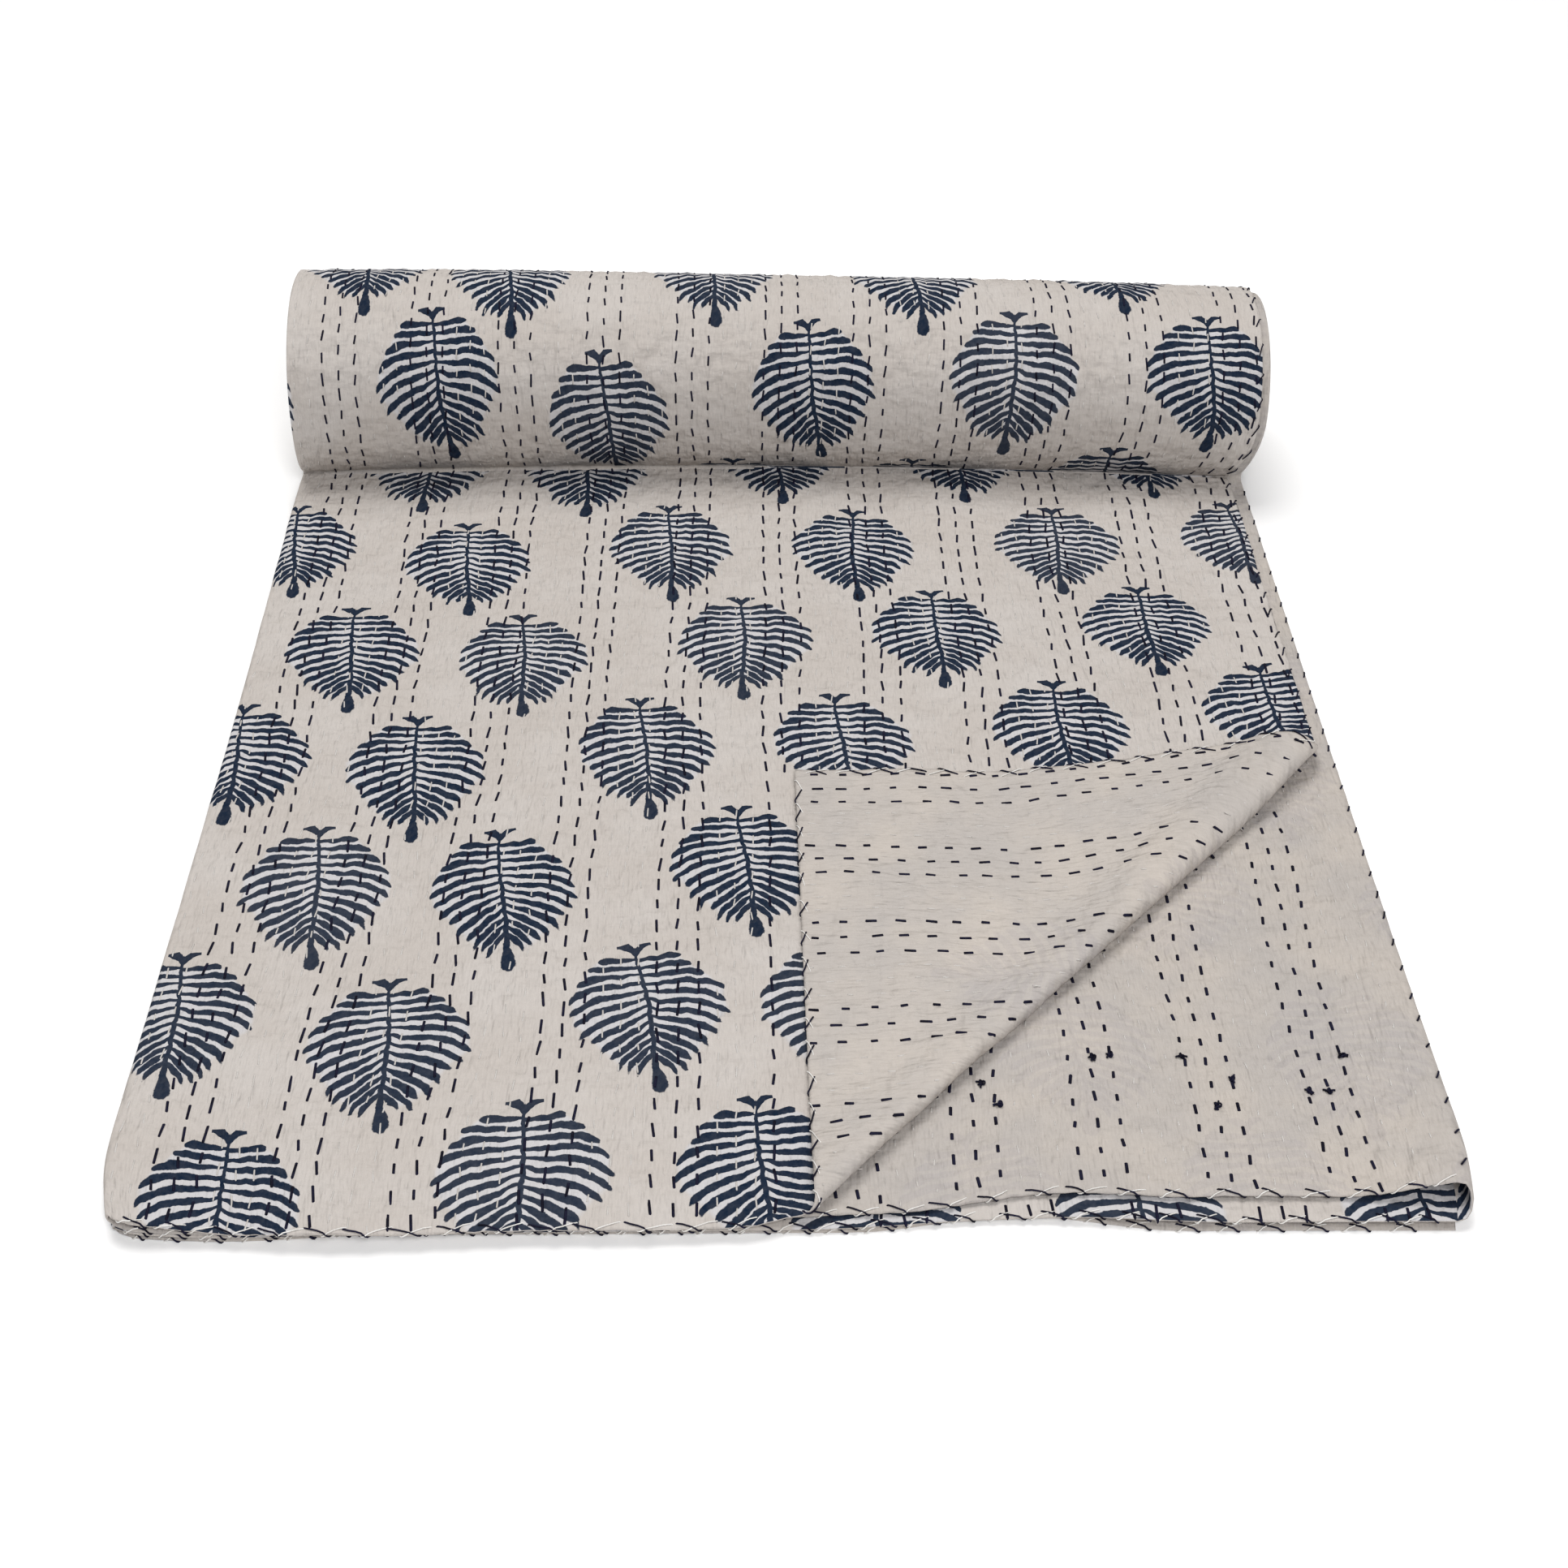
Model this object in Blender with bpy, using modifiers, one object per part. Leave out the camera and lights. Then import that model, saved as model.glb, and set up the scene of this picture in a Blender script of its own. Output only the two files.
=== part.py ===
"""A kantha quilt, folded in four across its width, its far part rolled and one corner turned back.

Metres, +Z up. X runs across the folded quilt, Y from the front hems to the roll. The origin is at the
middle of the underside of the whole bundle.

The cloth is modelled as the flat sheet that it is, a grid of points (across, along), and folded() says where
each of its points goes: first the four layers laid back and forth, then the turned corner. The rolled part is
one solid log that the four layers run into.
"""

import math

import bmesh
import bpy

# The folded bundle
LEFT_FOLD = -0.3450     # outside of the fold between layers 1 and 2
LOWER_LEFT_FOLD = -0.3435   # outside of the fold between layers 3 and 4
RIGHT_FOLD = 0.3470     # outside of the fold between layers 2 and 3
TOP_EDGE = 0.3360       # free side edge of layer 1, on the right
BOTTOM_EDGE = 0.3380    # free side edge of layer 4, on the right
LAYERS = 4
CLOTH = 0.0016          # thickness of the quilted cloth
PITCH = 0.00245         # from one layer to the next
FOLD_STEPS = 5          # faces round a fold

# How far each layer's front hem lies behind the front of the bundle: at the left fold and at the right fold
HEM_SETBACK = {
    1: (0.0000, 0.0000),
    2: (0.0020, 0.0240),
    3: (0.0060, 0.0100),
    4: (0.0070, 0.0040),
}
TOP_HEM_BOW = 0.0080    # layer 1's hem swings this far forward
TOP_HEM_BOW_AT = -0.200
TOP_HEM_BOW_HALF = 0.170
SETBACK_ENDS = 0.620    # the hems' shifts have died out here

# How far the layers spread apart beside each fold: at the front hem and near the roll
RIGHT_PUFF = (0.0185, 0.0030)
LEFT_PUFF = (0.0026, 0.0008)
LOWER_LEFT_PUFF = (0.0030, 0.0008)
PUFF_WIDTH = 0.060      # the puff reaches this far in from a fold
PUFF_FADE = 0.160       # and dies down over this length from the front

# The quilting: the cloth dips along each band of navy stitches
BAND_PERIOD = 0.0650
BAND_MIDDLE = 0.0080    # X of one band's middle
BAND_DIP = 0.0009
# Each layer's share of that dip, and its columns of points to a band. A dip runs out one column away.
DIPS = {
    1: (1.00, 4),
    2: (0.60, 2),
    3: (0.25, 2),
    4: (0.00, 1),
}

# The turned corner of layer 1
CORNER_START = (0.0060, 0.0000)     # where its fold meets the front hem
CORNER_END = (0.3360, 0.3550)       # where its fold meets the side edge
CORNER_FOLD = 0.0034                # radius of the fold at the front
CORNER_FOLD_END = 0.0062            # radius at the side edge, where the hem is stiff
CORNER_SHEAR = 0.115                # the corner is pulled along its fold by this share of its depth
CORNER_SETTLES = 0.030              # it has sunk onto layer 1 this far in from its fold

# The roll
ROLL_AXIS = 0.7545      # behind the front hem, at the middle
ROLL_AXIS_LEAN = -0.0045    # the axis lies this much further forward at the right end
ROLL_AXIS_BOW = -0.0115     # and the ends lie this much further forward than the middle
ROLL_RADIUS = 0.0712    # to the middle of the outer layer, at its front foot
ROLL_TAPER = -0.103     # share of the radius gained for each metre of X
ROLL_WAIST = 0.018      # share of the radius lost at the middle
ROLL_HEIGHT = 0.0634    # the axis above the surface
ROLL_FOOT = math.radians(228.9)     # where the cloth leaves the flat and climbs the roll's front
ROLL_SLIT = 0.0002      # the log's flat spot is this far above the layers' underside
ROLL_AROUND = 32
ROLL_END_ROUND = 0.0050     # rounding of the log's rims
ROLL_END_DISH = 0.0025      # the middle of each end is this far in
EDGE_STEP = 0.0004          # the log steps down over this width at layer 1's edge
LAYERS_RUN_IN = 0.7500  # the flat layers end here, inside the log

# The grid's rows, by distance from the front hem. Its columns are those of the dips.
ROWS = (0.0, 0.014, 0.040, 0.08, 0.13, 0.19, 0.26, 0.34, 0.42, 0.50, 0.58, 0.65, 0.70, LAYERS_RUN_IN)
COLUMN_MARGIN = 0.018   # no column is nearer than this to a fold
SNAP = 0.0015           # a cut passes through a point that it comes this near

# The origin, from the middle of the front hem
ORIGIN_X = 0.0010
ORIGIN_Y = 0.4070

QUILT_COLOUR = (0.590, 0.540, 0.480, 1.0)
QUILT_ROUGHNESS = 0.92


def remove_everything():
    for thing in list(bpy.data.objects):
        bpy.data.objects.remove(thing, do_unlink=True)
    for group in list(bpy.data.collections):
        bpy.data.collections.remove(group)


def smooth(t):
    """0 below 0, 1 above 1, with a soft start and end between."""
    t = min(max(t, 0.0), 1.0)
    return t * t * (3.0 - 2.0 * t)


def mix(a, b, t):
    return a + (b - a) * t


def layer_height(layer):
    """The height of a layer's middle where the layers lie flat."""
    return CLOTH / 2 + (LAYERS - layer) * PITCH


def puff(at_front_and_roll, along):
    """How far two layers are spread at their fold, at this distance from the front."""
    front, roll = at_front_and_roll
    return mix(roll, front, math.exp(-max(along, 0.0) / PUFF_FADE)) * (1.0 - smooth((along - 0.62) / 0.07))


def beside(x, fold):
    """1 at a fold, falling to 0 a puff's width inside it."""
    return 1.0 - smooth(abs(x - fold) / PUFF_WIDTH)


def dip(layer, x):
    """How far a layer lies below its place because of its quilting."""
    share, per_band = DIPS[layer]
    from_band = abs((x - BAND_MIDDLE + BAND_PERIOD / 2) % BAND_PERIOD - BAND_PERIOD / 2)
    return BAND_DIP * share * max(0.0, 1.0 - from_band * per_band / BAND_PERIOD)


def lift(layer, x, along):
    """How high a layer lies above its place in a flat stack, from the puffed folds under it."""
    height = 0.0
    if layer <= 3:
        height += puff(LOWER_LEFT_PUFF, along) * beside(x, LOWER_LEFT_FOLD)
    if layer <= 2:
        height += puff(RIGHT_PUFF, along) * beside(x, RIGHT_FOLD)
    if layer == 1:
        height += puff(LEFT_PUFF, along) * beside(x, LEFT_FOLD)
    return height


def setback(layer, x, along):
    """How far a layer's point lies behind its distance from the hem."""
    left, right = HEM_SETBACK[layer]
    shift = mix(left, right, smooth((x - LEFT_FOLD) / (RIGHT_FOLD - LEFT_FOLD)))
    if layer == 1:
        shift -= TOP_HEM_BOW * (1.0 - smooth(abs(x - TOP_HEM_BOW_AT) / TOP_HEM_BOW_HALF))
    return shift * (1.0 - smooth(along / SETBACK_ENDS))


def on_layer(layer, x, along):
    return (x, along + setback(layer, x, along), layer_height(layer) + lift(layer, x, along) - dip(layer, x))


def turned(x, along):
    """A point of layer 1, with the corner turned back over it."""
    start_x, start_y = CORNER_START
    line_x = CORNER_END[0] - start_x
    line_y = CORNER_END[1] - start_y
    length = math.hypot(line_x, line_y)
    line_x, line_y = line_x / length, line_y / length
    out_x, out_y = line_y, -line_x
    past = (x - start_x) * out_x + (along - start_y) * out_y
    if past <= 0:
        return on_layer(1, x, along)
    down_line = (x - start_x) * line_x + (along - start_y) * line_y
    radius = mix(CORNER_FOLD, CORNER_FOLD_END, smooth(down_line / length))
    half_turn = math.pi * radius
    if past < half_turn:
        over = radius * math.sin(past / radius)
        rise = radius * (1.0 - math.cos(past / radius))
    else:
        over = half_turn - past
        rise = mix(2 * radius, PITCH, smooth(-over / CORNER_SETTLES))
        down_line += CORNER_SHEAR * -over
    new_x = start_x + line_x * down_line + out_x * over
    new_y = start_y + line_y * down_line + out_y * over
    under = layer_height(1) + lift(1, min(new_x, TOP_EDGE), max(new_y, 0.0))
    return (new_x, new_y + setback(1, new_x, new_y), under + rise)


def round_fold(upper, side, fold, share, along):
    """A point on the fold that joins layer `upper` to the one below it. share runs from 0 to 1."""
    inner = fold - side * 0.5 * CLOTH
    top = on_layer(upper, inner, along)
    bottom = on_layer(upper + 1, inner, along)
    reach = (top[2] - bottom[2]) / 2
    angle = math.pi * share
    return (
        inner + side * reach * (math.sin(angle) - 1.0),
        mix(top[1], bottom[1], share),
        mix(top[2], bottom[2], 0.5 - 0.5 * math.cos(angle)),
    )


# Each fold, by the layer above it: the side it is on (1 is right) and its outside
FOLDS = {1: (-1, LEFT_FOLD), 2: (1, RIGHT_FOLD), 3: (-1, LOWER_LEFT_FOLD)}


def layer_end(layer, last, along):
    """X of a layer's first or last column, going the way the cloth goes: layer 1 runs from right to left."""
    if layer == 1 and not last:
        return TOP_EDGE
    if layer == LAYERS and last:
        return BOTTOM_EDGE
    upper = layer if last else layer - 1
    return round_fold(upper, *FOLDS[upper], 0.0, along)[0]


def inner_columns(layer):
    """X of each column between a layer's ends, in the order in which the cloth meets them."""
    step = BAND_PERIOD / DIPS[layer][1]
    low = LEFT_FOLD + COLUMN_MARGIN
    high = RIGHT_FOLD - COLUMN_MARGIN
    first = math.ceil((low - BAND_MIDDLE) / step)
    last = math.floor((high - BAND_MIDDLE) / step)
    found = [BAND_MIDDLE + step * number for number in range(first, last + 1)]
    return found if layer % 2 == 0 else found[::-1]


def columns():
    """The grid's columns in order across the cloth: what each is, its layer, and its X or its share of a fold."""
    made = []
    for layer in range(1, LAYERS + 1):
        made.append(("first", layer, None))
        made += [("inner", layer, x) for x in inner_columns(layer)]
        made.append(("last", layer, None))
        if layer < LAYERS:
            made += [("fold", layer, step / FOLD_STEPS) for step in range(1, FOLD_STEPS)]
    return made


def add_quilt_grid(mesh_name):
    """The four layers as one open grid of quads, folded."""
    bm = bmesh.new()
    made = columns()
    grid = [[bm.verts.new((0.0, along, 0.0)) for along in ROWS] for column in made]
    top_faces = []
    for number in range(len(made) - 1):
        here, after = grid[number], grid[number + 1]
        on_top = made[number][1] == 1 and made[number][0] in ("first", "inner")
        for row in range(len(ROWS) - 1):
            face = bm.faces.new((here[row], here[row + 1], after[row + 1], after[row]))
            if on_top:
                top_faces.append(face)
    for (what, layer, value), verts in zip(made, grid):
        for vert, along in zip(verts, ROWS):
            if what == "fold":
                vert.co = round_fold(layer, *FOLDS[layer], value, along)
                continue
            x = value if what == "inner" else layer_end(layer, what == "last", along)
            vert.co = (x, along, 0.0) if layer == 1 else on_layer(layer, x, along)
    for vert in cut_along_corner(bm, top_faces):
        vert.co = turned(vert.co.x, vert.co.y)
    mesh = bpy.data.meshes.new(mesh_name)
    bm.to_mesh(mesh)
    bm.free()
    return mesh


def cut_along_corner(bm, top_faces):
    """Cuts the flat layer 1 along lines beside its corner's fold, and returns its points."""
    start_x, start_y = CORNER_START
    line_x = CORNER_END[0] - start_x
    line_y = CORNER_END[1] - start_y
    length = math.hypot(line_x, line_y)
    outward = (line_y / length, -line_x / length, 0.0)
    half_turn = math.pi * (CORNER_FOLD + CORNER_FOLD_END) / 2
    offsets = [half_turn * step / 4 for step in range(5)] + [half_turn + CORNER_SETTLES / 2]
    for offset in offsets:
        faces = [face for face in top_faces if face.is_valid]
        parts = set(faces)
        for face in faces:
            parts.update(face.verts)
            parts.update(face.edges)
        point = (start_x + outward[0] * offset, start_y + outward[1] * offset, 0.0)
        cut = bmesh.ops.bisect_plane(
            bm, geom=list(parts), dist=SNAP, plane_co=point, plane_no=outward
        )
        top_faces = [part for part in cut["geom"] if isinstance(part, bmesh.types.BMFace)]
    verts = set()
    for face in top_faces:
        verts.update(face.verts)
    return verts


def turns_done(angle):
    """The share of a full turn from the roll's foot, going up the front, over and down the back."""
    return ((ROLL_FOOT - angle) % (2 * math.pi)) / (2 * math.pi)


def roll_outline(x, angle, inset):
    """(Y, Z) of the log's surface in the direction `angle` from its axis, `inset` inside the cloth."""
    size = 1.0 + ROLL_TAPER * x - ROLL_WAIST * (1.0 - smooth(abs(x) / RIGHT_FOLD))
    centre_z = ROLL_HEIGHT * size
    across = x / RIGHT_FOLD
    centre_y = ROLL_AXIS + ROLL_AXIS_LEAN * across + ROLL_AXIS_BOW * across * across
    reach = ROLL_RADIUS - LAYERS * PITCH * turns_done(angle) ** 2
    reach = reach * size + CLOTH / 2 - inset - dip(1, x)
    down = -math.sin(angle)
    if down > 0:
        reach = min(reach, (centre_z - ROLL_SLIT) / down)
    return centre_y + reach * math.cos(angle), centre_z + reach * math.sin(angle)


def log_sections():
    """(X, inset) of each ring of the log. Layer 1 ends short of the right fold, which leaves a step."""
    rounding = ROLL_END_ROUND
    left = [(LEFT_FOLD + rounding * (1 - math.cos(a)), rounding * (1 - math.sin(a)))
            for a in (0.0, math.pi / 6, math.pi / 3, math.pi / 2)]
    right = [(RIGHT_FOLD - rounding * (1 - math.cos(a)), PITCH + rounding * (1 - math.sin(a)))
             for a in (math.pi / 2, math.pi / 4, 0.0)]
    inner = [(x, 0.0) for x in sorted(inner_columns(1))]
    edge = [(TOP_EDGE, 0.0), (TOP_EDGE + EDGE_STEP, PITCH)]
    return left + inner + edge + right


def add_log(mesh_name):
    """The rolled part as one solid, a loft of its sections with dished ends."""
    bm = bmesh.new()
    rings = []
    for x, inset in log_sections():
        ring = []
        for number in range(ROLL_AROUND):
            angle = ROLL_FOOT - 2 * math.pi * number / ROLL_AROUND
            y, z = roll_outline(x, angle, inset)
            ring.append(bm.verts.new((x, y, z)))
        rings.append(ring)
    for ring, after in zip(rings, rings[1:]):
        for number in range(ROLL_AROUND):
            following = (number + 1) % ROLL_AROUND
            bm.faces.new((ring[number], ring[following], after[following], after[number]))
    for ring, inward in ((rings[0], 1), (rings[-1], -1)):
        middle = [sum(vert.co[axis] for vert in ring) / ROLL_AROUND for axis in range(3)]
        tip = bm.verts.new((middle[0] + inward * ROLL_END_DISH, middle[1], middle[2]))
        for number in range(ROLL_AROUND):
            following = (number + 1) % ROLL_AROUND
            bm.faces.new((ring[number], ring[following], tip))
    bmesh.ops.recalc_face_normals(bm, faces=bm.faces)
    mesh = bpy.data.meshes.new(mesh_name)
    bm.to_mesh(mesh)
    bm.free()
    return mesh


def quilted_cotton():
    material = bpy.data.materials.new("quilted cotton")
    material.use_nodes = True
    shader = material.node_tree.nodes["Principled BSDF"]
    shader.inputs["Base Color"].default_value = QUILT_COLOUR
    shader.inputs["Roughness"].default_value = QUILT_ROUGHNESS
    shader.inputs["Metallic"].default_value = 0.0
    return material


def add_object(name, mesh, group):
    thing = bpy.data.objects.new(name, mesh)
    group.objects.link(thing)
    thing.location = (-ORIGIN_X, -ORIGIN_Y, 0.0)
    return thing


def main():
    remove_everything()
    scene = bpy.context.scene
    parts = bpy.data.collections.new("kantha quilt")
    helpers = bpy.data.collections.new("cutters")
    scene.collection.children.link(parts)
    scene.collection.children.link(helpers)

    log = add_object("rolled_log", add_log("rolled_log"), helpers)
    log.hide_render = True
    log.display_type = "WIRE"

    quilt = add_object("quilt", add_quilt_grid("quilt"), parts)
    quilt.data.materials.append(quilted_cotton())

    thicken = quilt.modifiers.new("cloth thickness", "SOLIDIFY")
    thicken.thickness = CLOTH
    thicken.offset = 0.0
    thicken.use_even_offset = False

    join = quilt.modifiers.new("rolled part", "BOOLEAN")
    join.operation = "UNION"
    join.solver = "EXACT"
    join.object = log


main()
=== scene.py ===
# %% [markdown]
# # A kantha quilt, folded, rolled and with one corner turned back
#
# A kantha quilt is two thin cotton cloths, one block printed and one plain, held together by long lines of
# running stitch. This one is folded in four across its width, its far part is rolled up, and the corner of
# the top layer is turned back to show the plain side.
#
# The lesson builds it as what it is: one sheet of cloth with its own flat coordinates, bent by one rule
# that says where every point of the flat sheet goes. The cloth, the print and every stitch use that one
# rule, so they can't drift apart.

# %% The frame from the CAD model
import math
import random

import bmesh
import bpy
import numpy as np
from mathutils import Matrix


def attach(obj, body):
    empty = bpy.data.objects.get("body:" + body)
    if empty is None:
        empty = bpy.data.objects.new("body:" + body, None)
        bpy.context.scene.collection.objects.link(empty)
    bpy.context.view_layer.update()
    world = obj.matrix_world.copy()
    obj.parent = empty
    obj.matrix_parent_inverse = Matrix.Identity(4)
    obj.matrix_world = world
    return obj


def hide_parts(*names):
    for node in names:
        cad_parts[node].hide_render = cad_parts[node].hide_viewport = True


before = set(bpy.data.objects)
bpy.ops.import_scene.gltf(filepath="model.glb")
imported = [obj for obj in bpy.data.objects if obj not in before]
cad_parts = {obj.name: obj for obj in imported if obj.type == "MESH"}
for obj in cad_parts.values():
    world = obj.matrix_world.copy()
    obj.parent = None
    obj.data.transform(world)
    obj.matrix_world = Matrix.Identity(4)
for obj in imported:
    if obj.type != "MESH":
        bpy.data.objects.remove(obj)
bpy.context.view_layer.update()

# %% [markdown]
# ## The camera and the floor
#
# A folded quilt is best shown from the front and well above, so that its length runs away from the eye. The
# camera comes first, because everything after it is judged through it. The floor is a pale plain plane with
# its far part swept up, as a paper backdrop hangs, so that no horizon shows.

# %% Camera
CAMERA_PLACE = (-0.0245, -1.1126, 0.906)
CAMERA_TILT = 49.5           # degrees up from straight down
LENS, SENSOR = 51.34, 36.0   # mm
PICTURE_WIDTH = 1932         # pixels
PICTURE_SHIFT = 56           # the picture's middle lies this many pixels right of the lens's own

camera_data = bpy.data.cameras.new("camera")
camera_data.lens = LENS
camera_data.sensor_width = SENSOR
camera_data.shift_x = PICTURE_SHIFT / PICTURE_WIDTH
camera_data.clip_start = 0.01
camera = bpy.data.objects.new("camera", camera_data)
camera.location = CAMERA_PLACE
camera.rotation_euler = (math.radians(CAMERA_TILT), 0.0, 0.0)
bpy.context.scene.collection.objects.link(camera)
bpy.context.scene.camera = camera


# %% Floor and backdrop
FLOOR_FRONT, FLOOR_BACK = -6.0, 4.0
SWEEP_RADIUS = 2.0
BACKDROP_TOP, BACKDROP_SIDE = 7.0, 7.0


def add_mesh(name, points, faces):
    """A smooth mesh as an object in the scene."""
    mesh = bpy.data.meshes.new(name)
    mesh.from_pydata([tuple(p) for p in points], [], faces)
    mesh.update()
    mesh.polygons.foreach_set("use_smooth", [True] * len(mesh.polygons))
    thing = bpy.data.objects.new(name, mesh)
    bpy.context.scene.collection.objects.link(thing)
    return thing


def sweep_profile():
    """The backdrop's section: flat, then a quarter circle, then straight up."""
    bend = [(FLOOR_BACK + SWEEP_RADIUS * math.sin(a), SWEEP_RADIUS - SWEEP_RADIUS * math.cos(a))
            for a in np.linspace(0.1, math.pi / 2, 12)]
    return [(FLOOR_FRONT, 0.0), (FLOOR_BACK, 0.0), *bend, (FLOOR_BACK + SWEEP_RADIUS, BACKDROP_TOP)]


profile = sweep_profile()
floor_points = [(x, y, z) for x in (-BACKDROP_SIDE, BACKDROP_SIDE) for y, z in profile]
count = len(profile)
floor_faces = [(i, i + count, i + count + 1, i + 1) for i in range(count - 1)]
floor = add_mesh("floor", floor_points, floor_faces)
paper = bpy.data.materials.new("paper")
paper.use_nodes = True
paper_inputs = paper.node_tree.nodes["Principled BSDF"].inputs
paper_inputs["Base Color"].default_value = (0.97, 0.97, 0.97, 1.0)
paper_inputs["Roughness"].default_value = 0.9
floor.data.materials.append(paper)

# %% [markdown]
# ## Soft studio light
#
# Cloth shows its stitches by small shadows, so it needs one large light that comes from one side and a
# weaker fill from all round. A light that is too hard would turn every pucker into a black line, and one
# that is too even would hide the quilting.


# %% Lights
def add_area_light(name, place, towards, size, power, tint):
    """A square light at a place, aimed towards a point."""
    data = bpy.data.lights.new(name, "AREA")
    data.shape = "SQUARE"
    data.size = size
    data.energy = power
    data.color = tint
    thing = bpy.data.objects.new(name, data)
    thing.location = place
    direction = np.array(towards, float) - np.array(place, float)
    flat_length = math.hypot(direction[0], direction[1])
    tilt = math.pi / 2 + math.atan2(direction[2], flat_length)
    thing.rotation_euler = (tilt, 0.0, math.atan2(direction[1], direction[0]) - math.pi / 2)
    bpy.context.scene.collection.objects.link(thing)


add_area_light("key light", (-0.5, 1.4, 4.2), towards=(0.0, 0.2, 0.0), size=2.5, power=129.0,
               tint=(1.0, 0.988, 0.97))
add_area_light("front fill", (0.6, -2.4, 2.6), towards=(0.0, 0.0, 0.0), size=1.6, power=74.0,
               tint=(0.99, 0.99, 1.0))

world = bpy.data.worlds.new("studio")
world.use_nodes = True
background = world.node_tree.nodes["Background"].inputs
background["Color"].default_value = (1.0, 1.0, 1.0, 1.0)
background["Strength"].default_value = 0.26
bpy.context.scene.world = world
bpy.context.scene.view_settings.view_transform = "Standard"

# %% [markdown]
# ## The sizes
#
# These are the same sizes as those of the plain solid: the two sides of the bundle, the thickness of the
# cloth, how far the hems of the four layers lie behind each other, and how the folds puff up. Layer 1 is on
# top with its print up, layer 2 has its plain side up, and so on down to layer 4.

# %% The folded bundle
ORIGIN = (0.0010, 0.4070, 0.0)    # of the frame, in the bundle's own coordinates
LEFT_FOLD, LOWER_LEFT_FOLD, RIGHT_FOLD = -0.3450, -0.3435, 0.3470
TOP_EDGE, BOTTOM_EDGE = 0.3360, 0.3380
LAYERS = 4
CLOTH = 0.0016
PITCH = 0.00245
FOLDS = {1: (-1, LEFT_FOLD), 2: (1, RIGHT_FOLD), 3: (-1, LOWER_LEFT_FOLD)}

HEM_SETBACK = {1: (0.0, 0.0), 2: (0.0010, 0.0215), 3: (0.0020, 0.0085), 4: (0.0040, 0.0072)}
# Bows of each hem: (how far forward, where, half width)
HEM_BOWS = {1: [(0.0042, -0.225, 0.110), (-0.0037, 0.020, 0.110)],
            2: [(0.0010, -0.285, 0.110), (-0.0075, 0.130, 0.080), (-0.0025, 0.210, 0.130)],
            3: [(0.0020, -0.290, 0.110), (-0.0055, 0.120, 0.110)],
            4: [(0.0040, -0.285, 0.085), (-0.0100, 0.118, 0.085)]}
LEFT_HEMS_ROUND = (0.0085, 0.022, 0.030)   # near the left fold every hem curves back: how far, width, length
SETBACK_ENDS = 0.620

# How high the cloth stands beside each fold, at the front and near the roll
RIGHT_PUFF, LEFT_PUFF, LOWER_LEFT_PUFF = (0.0125, 0.0030), (0.0026, 0.0008), (0.0030, 0.0008)
PUFF_WIDTH, PUFF_FADE = 0.060, 0.160
PUFF_ENDS, PUFF_END_FADE = 0.62, 0.07
HEM_GAP, GAP_FADE = 0.0028, 0.050     # on the right the hem of layer 3 stands off layer 4
GAP_STARTS, GAP_GROWS = 0.10, 0.08    # the gap's x and the width over which it opens

# The cloth's width and length, flat
FLAT_SIZE = (2.743, 2.286)

# %% [markdown]
# ## A grid that fits the cloth
#
# The grid's columns follow the stitch lines, two to a line, so that the cloth can dip at each line and rise
# between. Its rows are spaced so that the fold of the turned corner runs exactly along the diagonals of the
# cells. A fold that cuts cells at odd places looks ragged, and a fold on the diagonals is clean.

# %% Cells
CORNER_START = (0.0060, 0.0000)
CORNER_END = (0.3360, 0.3550)
CELLS_ON_FOLD = 63
CELL = (CORNER_END[0] - CORNER_START[0]) / CELLS_ON_FOLD
ROW = (CORNER_END[1] - CORNER_START[1]) / CELLS_ON_FOLD

BAND_PERIOD = 12 * CELL      # from one band of navy stitches to the next
BAND_MIDDLE = {1: CORNER_START[0], 2: 0.0995, 3: 0.0594, 4: 0.0400}
print(f"cells of {CELL * 1000:.2f} by {ROW * 1000:.2f} mm, a band every {BAND_PERIOD * 1000:.1f} mm")

# %% [markdown]
# ## Where the flat part of each layer lies
#
# Small helpers first: a soft step and a mix. Then the height of a layer, the puff beside the folds, and the
# way a layer's hem lies behind the front. They all take whole arrays, because they place tens of thousands
# of points.


# %% Heights and setbacks
def smooth(t):
    """0 below 0, 1 above 1, with a soft start and end between."""
    t = np.clip(t, 0.0, 1.0)
    return t * t * (3.0 - 2.0 * t)


def mix(a, b, t):
    return a + (b - a) * t


def hump(t):
    """1 at 0, falling softly to 0 at 1 on both sides."""
    return 1.0 - smooth(np.abs(t))


def layer_height(layer):
    """Height of the middle of a layer's cloth where it lies flat."""
    return CLOTH / 2 + (LAYERS - layer) * PITCH


def puff(front_and_roll, along):
    front, roll = front_and_roll
    fade = 1.0 - smooth((along - PUFF_ENDS) / PUFF_END_FADE)
    return mix(roll, front, np.exp(-np.maximum(along, 0.0) / PUFF_FADE)) * fade


def lift(layer, x, along):
    """How far a layer stands over its place because of the folds below it and beside it."""
    height = np.zeros_like(x)
    if layer <= 3:
        height = HEM_GAP * np.exp(-np.maximum(along, 0.0) / GAP_FADE) * smooth((x - GAP_STARTS) / GAP_GROWS)
        height = height + puff(LOWER_LEFT_PUFF, along) * hump((x - LOWER_LEFT_FOLD) / PUFF_WIDTH)
    if layer <= 2:
        height = height + puff(RIGHT_PUFF, along) * hump((x - RIGHT_FOLD) / PUFF_WIDTH)
    if layer == 1:
        height = height + puff(LEFT_PUFF, along) * hump((x - LEFT_FOLD) / PUFF_WIDTH)
    return height


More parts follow.
